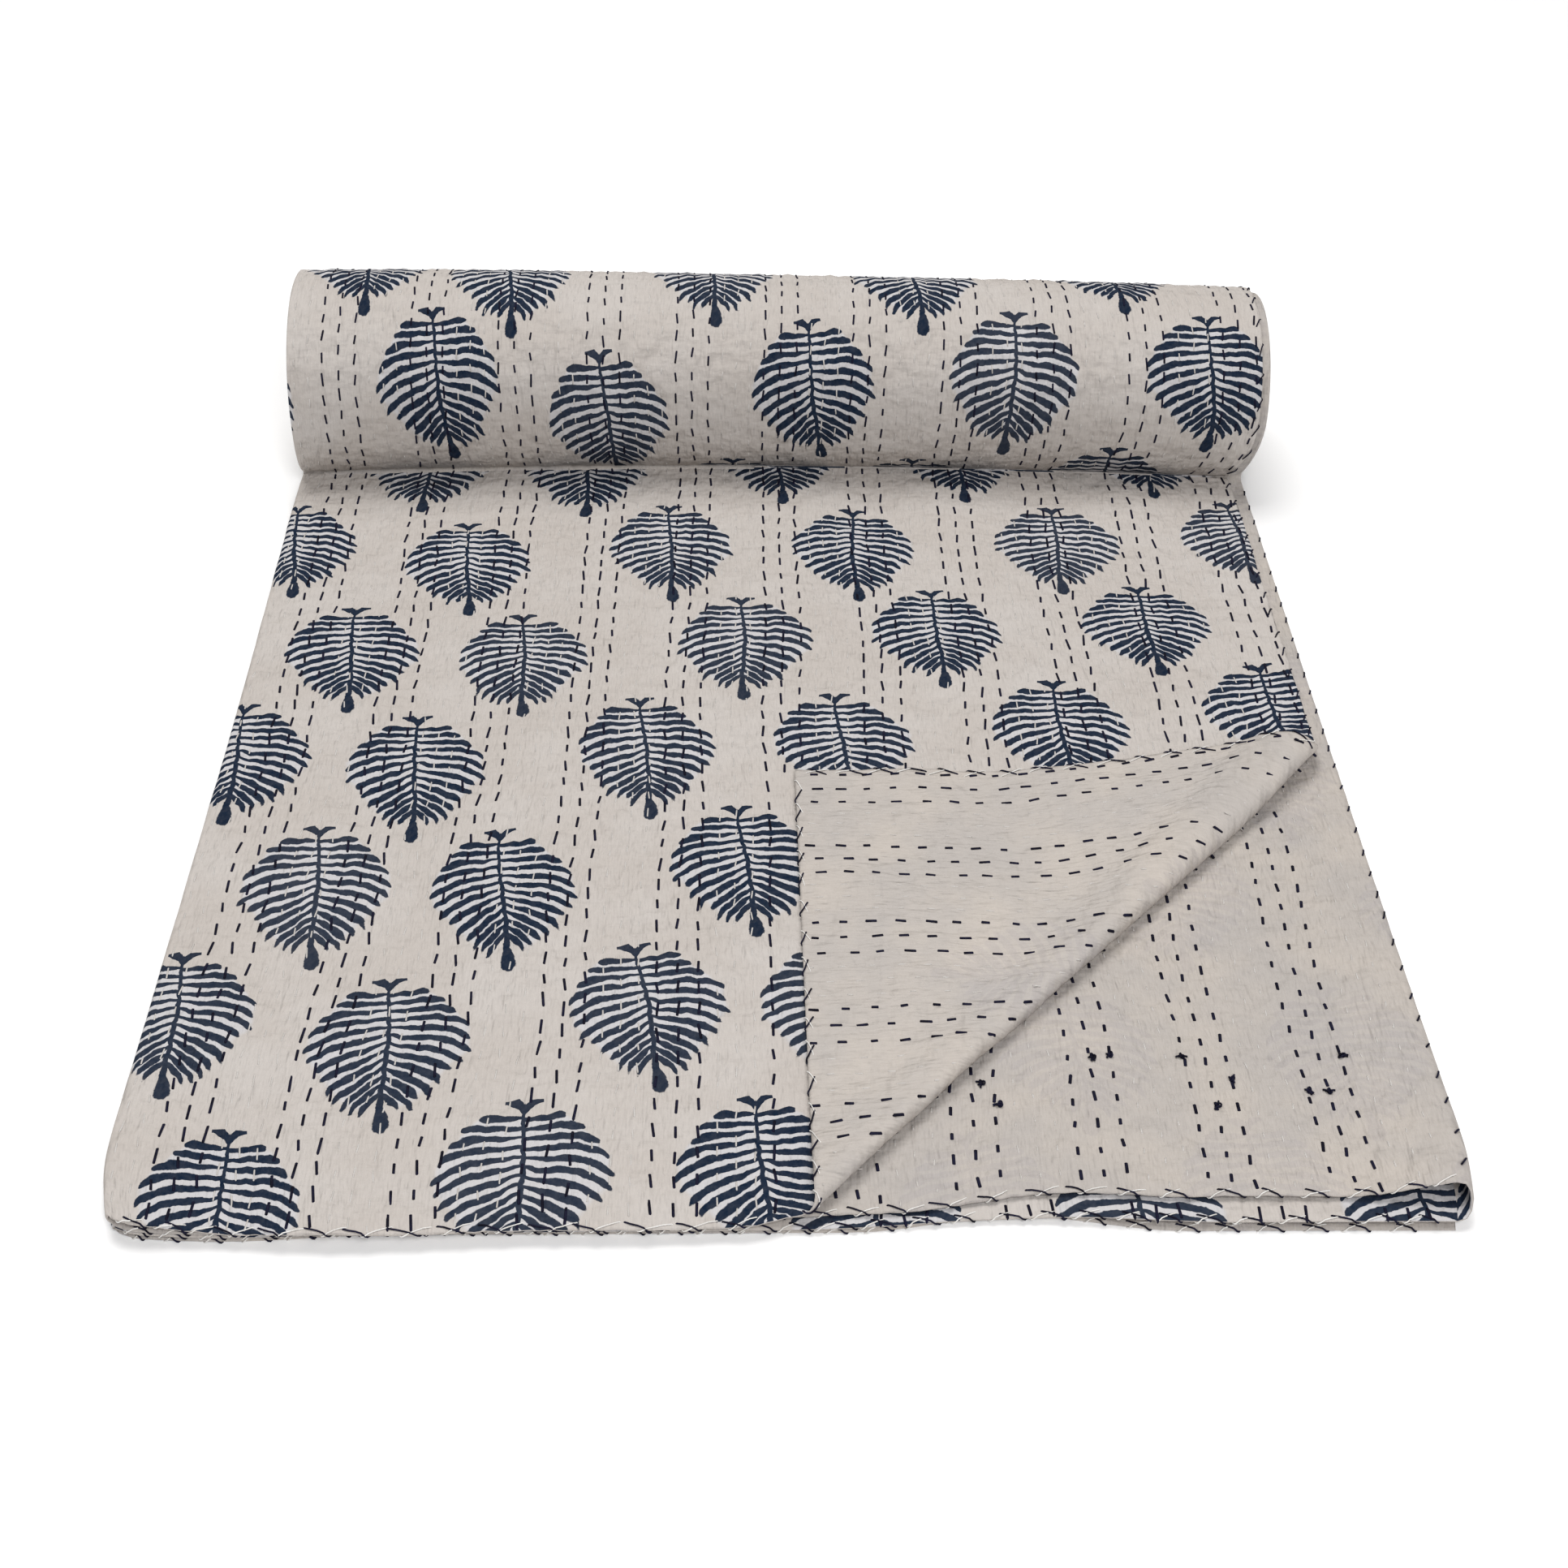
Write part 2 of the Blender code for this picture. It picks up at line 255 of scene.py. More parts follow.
def setback(layer, x, along):
    """How far a layer lies behind the front; most at its hem, nothing near the roll."""
    left, right = HEM_SETBACK[layer]
    shift = mix(left, right, smooth((x - LEFT_FOLD) / (RIGHT_FOLD - LEFT_FOLD)))
    for size, middle, half in HEM_BOWS[layer]:
        shift = shift - size * hump((x - middle) / half)
    back, width, length = LEFT_HEMS_ROUND
    beside_fold = np.clip(1.0 - (x - LEFT_FOLD) / width, 0.0, 1.0) ** 2
    beside_hem = np.exp(-np.maximum(along, 0.0) / length)
    return shift * (1.0 - smooth(along / SETBACK_ENDS)) + back * beside_fold * beside_hem


# %% [markdown]
# ## Quilting
#
# A running stitch pulls the two cloths together, so the cloth lies lower along every line of stitches and
# stands up in soft ridges between them. By hand, no line is quite straight and no two puckers are alike.
# The ridges are real geometry. Their unevenness comes from a few sine waves with seeded phases, which is
# cheap and smooth, and gives the same quilt every time.

# %% Ridges, wandering lines and slow waves
LINE = 2 * CELL              # from one line of stitches to the next
RIDGE = 0.00075              # the ridges stand this high over the lines
RIDGE_MEAN, RIDGE_VARIES = 0.70, 0.42    # a ridge's size in one place, as a share of RIDGE
RIDGE_LEAST, RIDGE_MOST = 0.1, 1.6
PUCKER = 0.00030             # height of the small puckers across the ridges
WANDER = 0.0021              # how far a line of stitches strays
LEFT_INSET, RIGHT_INSET = 0.002, -0.001   # it strays from this far inside the left fold and the right edge
WANDER_GROWS = 0.04          # and fully after this width
waves_random = random.Random(7)


def make_waves(number, shortest, longest):
    """Random plane waves: (along x, along v, phase, size)."""
    waves = []
    for _ in range(number):
        length = waves_random.uniform(shortest, longest)
        turn = waves_random.uniform(0.0, math.pi)
        waves.append((2 * math.pi * math.cos(turn) / length, 2 * math.pi * math.sin(turn) / length,
                      waves_random.uniform(0.0, 2 * math.pi), waves_random.uniform(0.6, 1.0)))
    return waves


def add_waves(waves, x, v):
    """The waves' sum at a point of the cloth, mostly between -1 and 1."""
    total = sum(size * np.sin(kx * x + kv * v + phase) for kx, kv, phase, size in waves)
    return total / math.sqrt(len(waves))


SLOW_WAVES = make_waves(9, 0.055, 0.16)
QUICK_WAVES = make_waves(12, 0.016, 0.040)
WANDER_WAVES = make_waves(6, 0.16, 0.45)


def wander(x, v):
    """How far the lines of stitches stray sideways."""
    from_left = smooth((x - LEFT_FOLD - LEFT_INSET) / WANDER_GROWS)
    from_right = smooth((TOP_EDGE - RIGHT_INSET - x) / WANDER_GROWS)
    return WANDER * add_waves(WANDER_WAVES, x, v) * (from_left * from_right)


def quilting(layer, x, v):
    """How high the cloth stands over the bottom of its stitch lines."""
    phase = 2 * math.pi * (x - BAND_MIDDLE[layer]) / LINE
    ridge = RIDGE * (0.5 - 0.5 * np.cos(phase))
    uneven = RIDGE_MEAN + RIDGE_VARIES * add_waves(QUICK_WAVES, x, v)
    puckers = PUCKER * (1.0 + add_waves(QUICK_WAVES, v, x * 1.3))
    return ridge * np.clip(uneven, RIDGE_LEAST, RIDGE_MOST) + puckers


# Depth and length of the round front corners, seen from above, and how far in from the fold they reach
LEFT_CORNER, RIGHT_CORNER = (0.0095, 0.060), (0.0050, 0.045)
CORNER_WIDTH = 0.045
FLARES = 0.0056, 0.0054       # at the front the left and right sides stand this much further out
FLARE_LENGTHS = 0.42, 0.62    # and come in again over this length
BOUNDS_FADE = 0.03


def side_shift(x, v):
    """How far a point moves sideways because the front is flared and its corners are round."""
    shift = np.where(x < 0, *FLARES) * x / RIGHT_FOLD
    shift = shift * np.clip(1.0 - v / np.where(x < 0, *FLARE_LENGTHS), 0.0, 1.0)
    for side, fold, (depth, length) in ((1, LEFT_FOLD, LEFT_CORNER), (-1, RIGHT_FOLD, RIGHT_CORNER)):
        beside_fold = hump((x - fold) / CORNER_WIDTH)
        shift = shift + side * depth * np.clip(1.0 - v / length, 0.0, 1.0) ** 2 * beside_fold
    return shift


def in_bounds(v, last):
    """1 up to `last`, falling softly to 0 just past it."""
    return 1.0 - smooth((v - last) / BOUNDS_FADE)


# %% [markdown]
# ## The roll
#
# The rolled part is a spiral of four layers. Seen from the side, the cloth comes in flat, turns up round a
# tight crease, and winds round the axis. The crease is an arc that touches both the flat cloth and the
# roll, and it has the same middle for all four layers, so the layers stay one pitch apart all the way
# round. A real roll is flat underneath where it rests, and each turn copies that flat spot.

# %% The roll's sizes
ROLL_AXIS, ROLL_AXIS_LEAN, ROLL_AXIS_BOW = 0.7545, -0.0045, -0.0115
ROLL_RADIUS, ROLL_TAPER, ROLL_WAIST = 0.0712, -0.103, 0.018
ROLL_HEIGHT = 0.0634
CREASE_RADIUS = 0.0015       # of the middle of layer 1 in the crease
CREASE_HIDES = 0.0120        # length of cloth pinched in the crease
FLOOR_CLEARANCE = 0.0002     # of the roll's lowest cloth
FLAT_SPOT_SOFTNESS = 0.0001


def roll_size(x):
    return 1.0 + ROLL_TAPER * x - ROLL_WAIST * hump(x / RIGHT_FOLD)


def roll_axis(x):
    """(y, z) of the roll's axis."""
    across = x / RIGHT_FOLD
    return ROLL_AXIS + ROLL_AXIS_LEAN * across + ROLL_AXIS_BOW * across ** 2, ROLL_HEIGHT * roll_size(x)


def wound_in(turn):
    """How many stacks of cloth lie between the roll's outside and this turn."""
    whole = np.floor(turn)
    return whole + (turn - whole) ** 2


def crease(x):
    """Middle (y, z) of the crease's arc, and the angle from it to the roll's axis."""
    axis_y, axis_z = roll_axis(x)
    reach = ROLL_RADIUS * roll_size(x) + CREASE_RADIUS
    z = layer_height(1) + CREASE_RADIUS + np.zeros_like(x)
    y = axis_y - np.sqrt(reach ** 2 - (axis_z - z) ** 2)
    return y, z, np.arctan2(axis_z - z, axis_y - y)


def flattened(x, turn, down):
    """The share of its radius that the roll keeps in this direction, because of its flat spot."""
    outer_radius = ROLL_RADIUS * roll_size(x) - LAYERS * PITCH * wound_in(turn % 1.0)
    share = (ROLL_HEIGHT * roll_size(x) - CLOTH / 2 - FLOOR_CLEARANCE) / outer_radius / np.maximum(down, 0.3)
    return 1.0 - 0.5 * ((1.0 - share) + np.sqrt((1.0 - share) ** 2 + FLAT_SPOT_SOFTNESS))


# %% From a length of cloth to turns of the roll
V_FLAT = float(crease(np.array(0.0))[0])         # the crease begins here at the middle
V_ROLL = V_FLAT + CREASE_HIDES                   # and the roll begins here
MOST_TURNS = 6.0
FLOOR_TURN, LAST_SEEN_TURN = 0.78, 0.80          # where the outer turn meets the floor and is hidden

turn_steps = np.linspace(0.0, MOST_TURNS, 3000)
turn_radius = ROLL_RADIUS * float(roll_size(np.array(0.0))) - LAYERS * PITCH * wound_in(turn_steps)
turn_length = np.concatenate([[0.0], np.cumsum(np.diff(turn_steps) * 2 * math.pi * turn_radius[1:])])
TURNS = float(np.interp(FLAT_SIZE[1] - V_ROLL, turn_length, turn_steps))
OUTER_TURN_ENDS = float(np.interp(FLOOR_TURN, turn_steps, turn_length))
print(f"flat to {V_FLAT:.4f} m, then {FLAT_SIZE[1] - V_ROLL:.3f} m wound in {TURNS:.2f} turns")

# %% Points on the roll and in the crease
LEFT_SPREAD, RIGHT_SPREAD = 0.0022, 0.0060   # the roll's ends stand in on the left and out on the right
SPREAD_WIDTH, SPREAD_TURN = 0.30, 0.15
FREE_EDGE_OUT, FREE_EDGE_STARTS = 0.0045, 0.24    # layer 1's free edge stands out a little more
FREE_EDGE_TURN = 0.1


def spread(x, turn):
    """How far a point of the roll moves to the right."""
    sideways = LEFT_SPREAD * smooth(-x / SPREAD_WIDTH) + RIGHT_SPREAD * smooth(x / SPREAD_WIDTH)
    return smooth(turn / SPREAD_TURN) * sideways


def rolled(layer, x, turn, raised):
    """A layer's points on the roll, `turn` turns from the crease and raised outwards."""
    axis_y, axis_z = roll_axis(x)
    angle = crease(x)[2] + math.pi - 2 * math.pi * turn
    radius = ROLL_RADIUS * roll_size(x) - PITCH * (LAYERS * wound_in(turn) + layer - 1) + raised
    radius = radius * flattened(x, turn, -np.sin(angle))
    if layer == 1:
        to_edge = smooth((x - FREE_EDGE_STARTS) / (TOP_EDGE - FREE_EDGE_STARTS))
        x = x + FREE_EDGE_OUT * to_edge * smooth(turn / FREE_EDGE_TURN)
    y, z = axis_y + radius * np.cos(angle), axis_z + radius * np.sin(angle)
    return np.stack([x + spread(x, turn), y, z], -1)


def in_crease(layer, x, share):
    """A layer's points in the pinch between the flat part and the roll. share runs from 0 to 1."""
    crease_y, crease_z, to_axis = crease(x)
    angle = -math.pi / 2 + share * (to_axis + math.pi / 2)
    radius = CREASE_RADIUS + PITCH * (layer - 1)
    return np.stack([x, crease_y + radius * np.cos(angle), crease_z + radius * np.sin(angle)], -1)


# %% [markdown]
# ## One rule for the whole cloth
#
# `place` takes a layer and the flat coordinates on it, x across and v along from the hem, and gives points
# in space. Everything that is made later calls it. Layer 1 also has its corner: points past the diagonal
# fold run round a half turn and come back over the cloth.

# %% The turned corner
CORNER_FOLD, CORNER_FOLD_END = 0.0044, 0.0060    # radius of the fold at its start and at its end
CORNER_SHEAR = 0.115
CORNER_SETTLES = 0.030       # past the fold the cloth comes down over this length
CORNER_REST = 0.0036         # the corner's middle lies this far over layer 1's
END_CURL, END_CURL_WIDTH = 0.0075, 0.110
CORNER_MOVES_BACK = (0.0050, 0.0135)   # the corner lies this much further back, at its tip and beyond
MOVES_BACK_LENGTH = 0.16
PULLED_ALONG = (0.018, 0.050)          # this width before the fold moves with it, at its start and its end
HEM_RISES = 0.0200           # towards the end of the fold its upper hem lies still further back
HEM_RISES_PAST = 0.035       # the whole of that rise is reached this far past the fold
HEM_RISE_STARTS, HEM_RISE_LENGTH = 0.13, 0.16

fold_dx, fold_dy = CORNER_END[0] - CORNER_START[0], CORNER_END[1] - CORNER_START[1]
FOLD_LENGTH = math.hypot(fold_dx, fold_dy)
fold_dx, fold_dy = fold_dx / FOLD_LENGTH, fold_dy / FOLD_LENGTH


def past_fold(x, v):
    """(distance past the corner's fold, distance down the fold)."""
    dx, dy = x - CORNER_START[0], v - CORNER_START[1]
    return dx * fold_dy - dy * fold_dx, dx * fold_dx + dy * fold_dy


def turned(x, v, raised):
    """Layer 1's flat part, with its corner turned back. `raised` is along the cloth's own top side."""
    past, down = past_fold(x, v)
    radius = mix(CORNER_FOLD, CORNER_FOLD_END, smooth(down / FOLD_LENGTH))
    half_turn = math.pi * radius
    round_it = np.clip(past / radius, 0.0, math.pi)
    beyond = np.maximum(past - half_turn, 0.0)
    over = np.where(past > 0, (radius - raised) * np.sin(round_it) - beyond, past)
    rest = mix(2 * radius, CORNER_REST, smooth(beyond / CORNER_SETTLES)) - raised
    rise = np.where(past < half_turn, radius - (radius - raised) * np.cos(round_it), rest)
    rise = np.where(past > 0, rise, raised)
    down = down + CORNER_SHEAR * beyond
    new_x = CORNER_START[0] + fold_dx * down + fold_dy * over
    new_y = CORNER_START[1] + fold_dy * down - fold_dx * over
    from_end = np.hypot(new_x - CORNER_END[0], new_y - CORNER_END[1])
    curl = END_CURL * np.where(past > 0, hump(from_end / END_CURL_WIDTH), 0.0)
    under = layer_height(1) + lift(1, np.minimum(new_x, TOP_EDGE), np.maximum(new_y, 0.0))
    fade = mix(*PULLED_ALONG, smooth(down / FOLD_LENGTH))
    pulled = smooth(1.0 + np.minimum(past, 0.0) / fade)
    back = mix(*CORNER_MOVES_BACK, smooth(down / MOVES_BACK_LENGTH)) * pulled
    to_fold_end = smooth((new_x - HEM_RISE_STARTS) / HEM_RISE_LENGTH)
    back = back + HEM_RISES * smooth(past / HEM_RISES_PAST) * to_fold_end
    return np.stack([new_x, new_y + setback(1, new_x, new_y) + back, under + rise + curl], -1)


# %% The whole rule
CORNER_ZONE = 0.40           # the turned corner and its fold lie before this v
STRAIGHT_AT_FOLD = 0.030     # on both sides of the corner's fold the lines of stitches don't stray
RIDGES_CHANGE = 0.014        # past the fold, and at the crease, the ridges change over this width
RIDGES_OF_2 = (0.001, 0.012, 0.35)   # layer 2 has ridges past the corner's fold: start, width, last v
FOLLOWS_CREASE = 0.3         # past this v the cloth stretches a little, to meet the crease
SLOW_SWELL = 0.0011          # height of the slow waves of the whole top


def place(layer, x, v, raised=0.0):
    """Points of a layer at flat coordinates (x, v), raised along the cloth's own top side."""
    x, v = np.broadcast_arrays(np.asarray(x, float), np.asarray(v, float))
    raised = np.broadcast_to(np.asarray(raised, float), x.shape)
    past = past_fold(x, v)[0]
    fold_near = hump(past / STRAIGHT_AT_FOLD) * (v < CORNER_ZONE) if layer == 1 else 0.0
    outer = in_bounds(v, V_ROLL + OUTER_TURN_ENDS)
    high = raised.copy()
    if layer == 1:
        # The ridges stand up on the side that shows, which is the other one on the turned corner
        shows = 1.0 - 2.0 * smooth(np.where(v < CORNER_ZONE, past, -1.0) / RIDGES_CHANGE)
        at_crease = 1.0 - hump((v - V_FLAT) / RIDGES_CHANGE)
        high = high + quilting(1, x, v) * outer * (1.0 - covered(x, v)) * shows * at_crease
    elif layer == 2:
        start, width, last_v = RIDGES_OF_2
        high = high + quilting(2, x, v) * smooth((past - start) / width) * in_bounds(v, last_v)
    moved = x + (wander(x, v) * (1.0 - fold_near) * outer if layer <= 2 else 0.0)
    moved = moved + side_shift(x, v) * ((layer > 1) | (past < 0.0))
    crease_y = crease(moved)[0]
    flat_v = np.minimum(v, V_FLAT)
    near_crease = smooth((flat_v - FOLLOWS_CREASE) / (V_FLAT - FOLLOWS_CREASE))
    along = flat_v * (1.0 + (crease_y - V_FLAT) / V_FLAT * near_crease)
    if layer == 1:
        flat = turned(moved, along, high)
        slow = SLOW_SWELL * (1.0 + add_waves(SLOW_WAVES, flat[..., 0], flat[..., 1]))
        flat[..., 2] += slow * in_bounds(v, V_FLAT - BOUNDS_FADE)
    else:
        height = layer_height(layer) + lift(layer, moved, along) + high
        flat = np.stack([moved, along + setback(layer, moved, along), height], -1)
    share = np.clip((v - V_FLAT) / CREASE_HIDES, 0.0, 1.0)
    turn = np.interp(v - V_ROLL, turn_length, turn_steps)
    result = np.where((share > 0)[..., None], in_crease(layer, moved, share), flat)
    return np.where((share >= 1)[..., None], rolled(layer, moved, turn, high), result)


def covered(x, v):
    """1 where layer 1 lies under its own turned corner."""
    past, down = past_fold(x, v)
    down = down - CORNER_SHEAR * np.maximum(-past, 0.0)
    back_x = CORNER_START[0] + fold_dx * down - fold_dy * past
    back_v = CORNER_START[1] + fold_dy * down + fold_dx * past
    inside = smooth((TOP_EDGE - back_x) / 0.01 + 1.0) * smooth(back_v / 0.01 + 1.0)
    return np.where(past < 0, inside, 0.0) * (v < CORNER_ZONE)


# %% The folds between two layers
FOLD_FULLNESS = 0.7          # under 1 the folds are fuller than half a circle


def fold_reach(upper, v):
    """A flat x just before the fold under a layer, half the fold's height there, and its two ends."""
    side, fold = FOLDS[upper]
    inner = fold - side * 0.5 * CLOTH
    top, bottom = place(upper, inner, v), place(upper + 1, inner, v)
    apart = top - bottom
    apart[..., 1] = np.where(v > SETBACK_ENDS, apart[..., 1], 0.0)
    return inner, np.linalg.norm(apart, axis=-1) / 2, top, bottom


def place_fold(upper, share, v):
    """Points on the fold between a layer and the one under it. share runs from 0 to 1."""
    side = FOLDS[upper][0]
    inner, reach, top, bottom = fold_reach(upper, v)
    share = np.asarray(share, float)
    points = mix(top, bottom, np.expand_dims(0.5 - 0.5 * np.cos(math.pi * share), -1))
    turn = np.interp(v - V_ROLL, turn_length, turn_steps)
    shift = side_shift(inner, v) + np.where(v > V_ROLL, spread(np.full_like(v, inner), turn), 0.0)
    points[..., 0] = inner + shift + side * reach * (np.sin(math.pi * share) ** FOLD_FULLNESS - 1.0)
    return points


def layer_end(layer, last, v):
    """X of a layer's first or last column, going the way the cloth goes from layer 1's free edge."""
    if layer == 1 and not last:
        return np.full_like(v, TOP_EDGE)
    if layer == LAYERS and last:
        return np.full_like(v, BOTTOM_EDGE)
    upper = layer if last else layer - 1
    inner, reach = fold_reach(upper, v)[:2]
    return inner - FOLDS[upper][0] * reach


# %% [markdown]
# ## The grid of the cloth
#
# Only what shows needs fine cells: the top layer, the part of layer 2 that the corner uncovers, the side
# folds and the front hems. The rest is coarse. The grid is made in regions, each with its own columns and
# rows. Where a coarse cell meets fine ones it takes their points into its own outline, so the sheet has no
# cracks.

# %% Columns and rows
HEM = 0.0018                 # width of the cells along a hem
FOLD_STEPS = 6
OUTER_TURNS, OUTER_TURN_ROWS = 1.03, 62     # the part of the roll with fine rows
INNER_TURN_ROWS = 20         # rows to a turn further in


def columns_of(layer):
    """X of the columns between a layer's ends, from left to right, with the ones beside the hem."""
    start = BAND_MIDDLE[layer]
    low, high = LEFT_FOLD + (0.0045 if layer <= 2 else 0.0065), RIGHT_FOLD - 0.0100
    if layer == 1:
        high = TOP_EDGE + CELL / 2
    if layer == LAYERS:
        high = BOTTOM_EDGE - 0.0030
    first, last = math.ceil((low - start) / CELL), math.floor((high - start) / CELL)
    found = [start + CELL * number for number in range(first, last + 1)]
    if layer == 1:
        found[-1:] = [TOP_EDGE - HEM]
    return found


def all_columns():
    """Every column in the order in which the cloth meets them: (kind, layer, x or share)."""
    made = []
    for layer in range(1, LAYERS + 1):
        inner = columns_of(layer)
        made.append(("first", layer, None))
        made += [("inner", layer, x) for x in (inner if layer % 2 == 0 else inner[::-1])]
        made.append(("last", layer, None))
        if layer < LAYERS:
            made += [("fold", layer, step / FOLD_STEPS) for step in range(1, FOLD_STEPS)]
    return made


flat_rows = [0.0, HEM] + [ROW * number for number in range(1, int(V_FLAT / ROW))] + [V_FLAT]
crease_rows = [mix(V_FLAT, V_ROLL, share) for share in (0.15, 0.35, 0.55, 0.75, 0.90)]
outer_turns = np.linspace(0.0, OUTER_TURNS, OUTER_TURN_ROWS)
inner_turns = np.arange(OUTER_TURNS + 1 / INNER_TURN_ROWS, TURNS, 1 / INNER_TURN_ROWS)
rolled_rows = [V_ROLL + float(s) for s in np.interp([*outer_turns, *inner_turns], turn_steps, turn_length)]
ROWS = np.array(flat_rows + crease_rows + rolled_rows)
COLUMNS = all_columns()
OUTER_ROWS = len(flat_rows) + len(crease_rows) + len(outer_turns)
print(len(COLUMNS), "columns and", len(ROWS), "rows")

# %% Regions
HEM_ZONE = 0.048             # the layers' fronts have fine rows up to this v
UNCOVERED_ZONE = 0.372       # and layer 2 up to this one, where the turned corner uncovers it
UNCOVERED_FROM = -0.010      # to the right of this x
HEM_STEP, FLAT_STEP, ROLL_STEP = 3, 8, 16    # a coarse cell is this many columns wide
ROW_STEP, BACK_ROW_STEP = 6, 2               # and this many rows long


def column_numbers(kind):
    """Where each layer's first or last column stands in COLUMNS."""
    return {column[1]: number for number, column in enumerate(COLUMNS) if column[0] == kind}


def thinned(first, last, step, keep=1):
    """Column or row numbers from first to last, every `step`, with the `keep` next to both ends."""
    chosen = set(range(first, last + 1, step)) | {first, last}
    chosen |= set(range(first, first + keep + 1)) | set(range(last - keep, last + 1))
    return sorted(chosen)


def column_near(layer, x):
    """The number of a layer's column that is nearest to x."""
    numbers = [i for i, c in enumerate(COLUMNS) if c[1] == layer and c[0] == "inner"]
    return min(numbers, key=lambda i: abs(COLUMNS[i][2] - x))


first_of, last_of = column_numbers("first"), column_numbers("last")
hem_end = int(np.searchsorted(ROWS, HEM_ZONE))
uncovered_end = int(np.searchsorted(ROWS, UNCOVERED_ZONE))
middle_of_2 = column_near(2, UNCOVERED_FROM)
outer_end = OUTER_ROWS - 1
outer_rows, hem_rows = list(range(OUTER_ROWS)), list(range(hem_end + 1))
slack_rows = thinned(hem_end, outer_end, ROW_STEP)
REGIONS = [
    (list(range(0, first_of[2] + 3)), outer_rows),
    (thinned(first_of[2] + 2, middle_of_2, HEM_STEP), hem_rows),
    (thinned(first_of[2] + 2, middle_of_2, FLAT_STEP), slack_rows),
    (list(range(middle_of_2, last_of[2] + 1)), list(range(uncovered_end + 1))),
    (thinned(middle_of_2, last_of[2], FLAT_STEP), thinned(uncovered_end, outer_end, ROW_STEP)),
    (list(range(last_of[2], first_of[3] + 3)), outer_rows),
    (list(range(first_of[3] + 2, last_of[3] - 1)), hem_rows),
    (thinned(first_of[3] + 2, last_of[3] - 2, FLAT_STEP), slack_rows),
    (list(range(last_of[3] - 2, first_of[4] + 3)), thinned(0, outer_end, BACK_ROW_STEP, 3)),
    (thinned(first_of[4] + 2, last_of[4], HEM_STEP), hem_rows),
    (thinned(first_of[4] + 2, last_of[4], FLAT_STEP, 2), slack_rows),
    (sorted(set().union(*(thinned(first_of[n], last_of[n], ROLL_STEP, 2) for n in range(1, LAYERS + 1)),
                        *(range(last_of[n], first_of[n + 1] + 1) for n in range(1, LAYERS)))),
     list(range(outer_end, len(ROWS)))),
]


# %% Cells of every region
def build_cells(regions):
    """Faces as lists of (column, row), each with every point that any region has on its outline."""
    used = {(c, r) for columns, rows in regions for c in columns for r in rows}
    cells = []
    for columns, rows in regions:
        for c0, c1 in zip(columns, columns[1:]):
            for r0, r1 in zip(rows, rows[1:]):
                ring = [(c, r0) for c in range(c0, c1)] + [(c1, r) for r in range(r0, r1)]
                ring += [(c, r1) for c in range(c1, c0, -1)] + [(c0, r) for r in range(r1, r0, -1)]
                cells.append([point for point in ring if point in used])
    return sorted(used), cells


grid_points, cells = build_cells(REGIONS)
number_of = {point: number for number, point in enumerate(grid_points)}
print(len(grid_points), "points and", len(cells), "cells")


# %% [markdown]
# ## From the grid to a mesh
#
# The grid is first laid out flat, layer 1 with its real flat coordinates, so that lines beside the corner's
# fold can be cut into it with a bisect. Each point of the other layers waits at a height of its own, which
# tells afterwards which point it was. Then `place` moves every point to where it belongs.


# %% Cut the lines beside the corner's fold into the flat grid
CUTS = 12                    # from the fold outwards, two for each row of diagonals
CUT_SNAPS = 0.00025          # a point this near a cut is taken to be on it


def flat_position(number):
    """Where a grid point waits until the cuts are made."""
    c, r = grid_points[number]
    kind, layer, value = COLUMNS[c]
    if layer > 1 or kind == "fold" or kind == "last":
        return (value or 0.0, ROWS[r], -1.0 - number)
    return (TOP_EDGE if kind == "first" else value, ROWS[r], 0.0)


bm = bmesh.new()
verts = [bm.verts.new(flat_position(number)) for number in range(len(grid_points))]
for cell in cells:
    bm.faces.new([verts[number_of[point]] for point in reversed(cell)])

half_step = CELL * ROW / math.hypot(CELL, ROW) / 2
for step in range(CUTS):
    near = [f for f in bm.faces if all(v.co.z == 0.0 for v in f.verts)
            and min(v.co.y for v in f.verts) < CORNER_END[1] + ROW]
    parts = set(near)
    for face in near:
        parts.update(face.verts)
        parts.update(face.edges)
    offset = half_step * step
    point = (CORNER_START[0] + fold_dy * offset, CORNER_START[1] - fold_dx * offset, 0.0)
    bmesh.ops.bisect_plane(bm, geom=list(parts), dist=CUT_SNAPS, plane_co=point,
                           plane_no=(fold_dy, -fold_dx, 0.0))

bm.verts.index_update()
flat_co = np.array([v.co for v in bm.verts], float)
faces = [[v.index for v in f.verts] for f in bm.faces]
bm.free()
print(len(flat_co), "points and", len(faces), "faces after the cuts")

# %% Each point's layer, its place across it, and its distance across the whole cloth
FOLD_OUT = 0.0012            # for the print, the points of a fold count as this far outside it
point_layer = np.ones(len(flat_co), int)
point_x = flat_co[:, 0].copy()
point_v = flat_co[:, 1].copy()
placed = np.zeros((len(flat_co), 3))
round_fold = np.full(len(flat_co), np.nan)     # on a fold, the distance along the cloth from its middle
groups = {}
for index, z in enumerate(flat_co[:, 2]):
    if z < -0.5:
        c, r = grid_points[int(round(-z - 1.0))]
        groups.setdefault(c, []).append(index)
for c, members in groups.items():
    kind, layer, value = COLUMNS[c]
    v = point_v[members]
    point_layer[members] = layer
    if kind == "fold":
        placed[members] = place_fold(layer, np.full(len(members), value), v)
        point_x[members] = FOLDS[layer][1] + FOLDS[layer][0] * FOLD_OUT
        round_fold[members] = (value - 0.5) * 2.0 * (CLOTH / 2 + fold_reach(layer, v)[1])
        continue
    x = np.full(len(members), value) if kind == "inner" else layer_end(layer, kind == "last", v)
    point_x[members] = x
    placed[members] = place(layer, x, v)
top = flat_co[:, 2] > -0.5
placed[top] = place(1, point_x[top], point_v[top])
placed -= ORIGIN

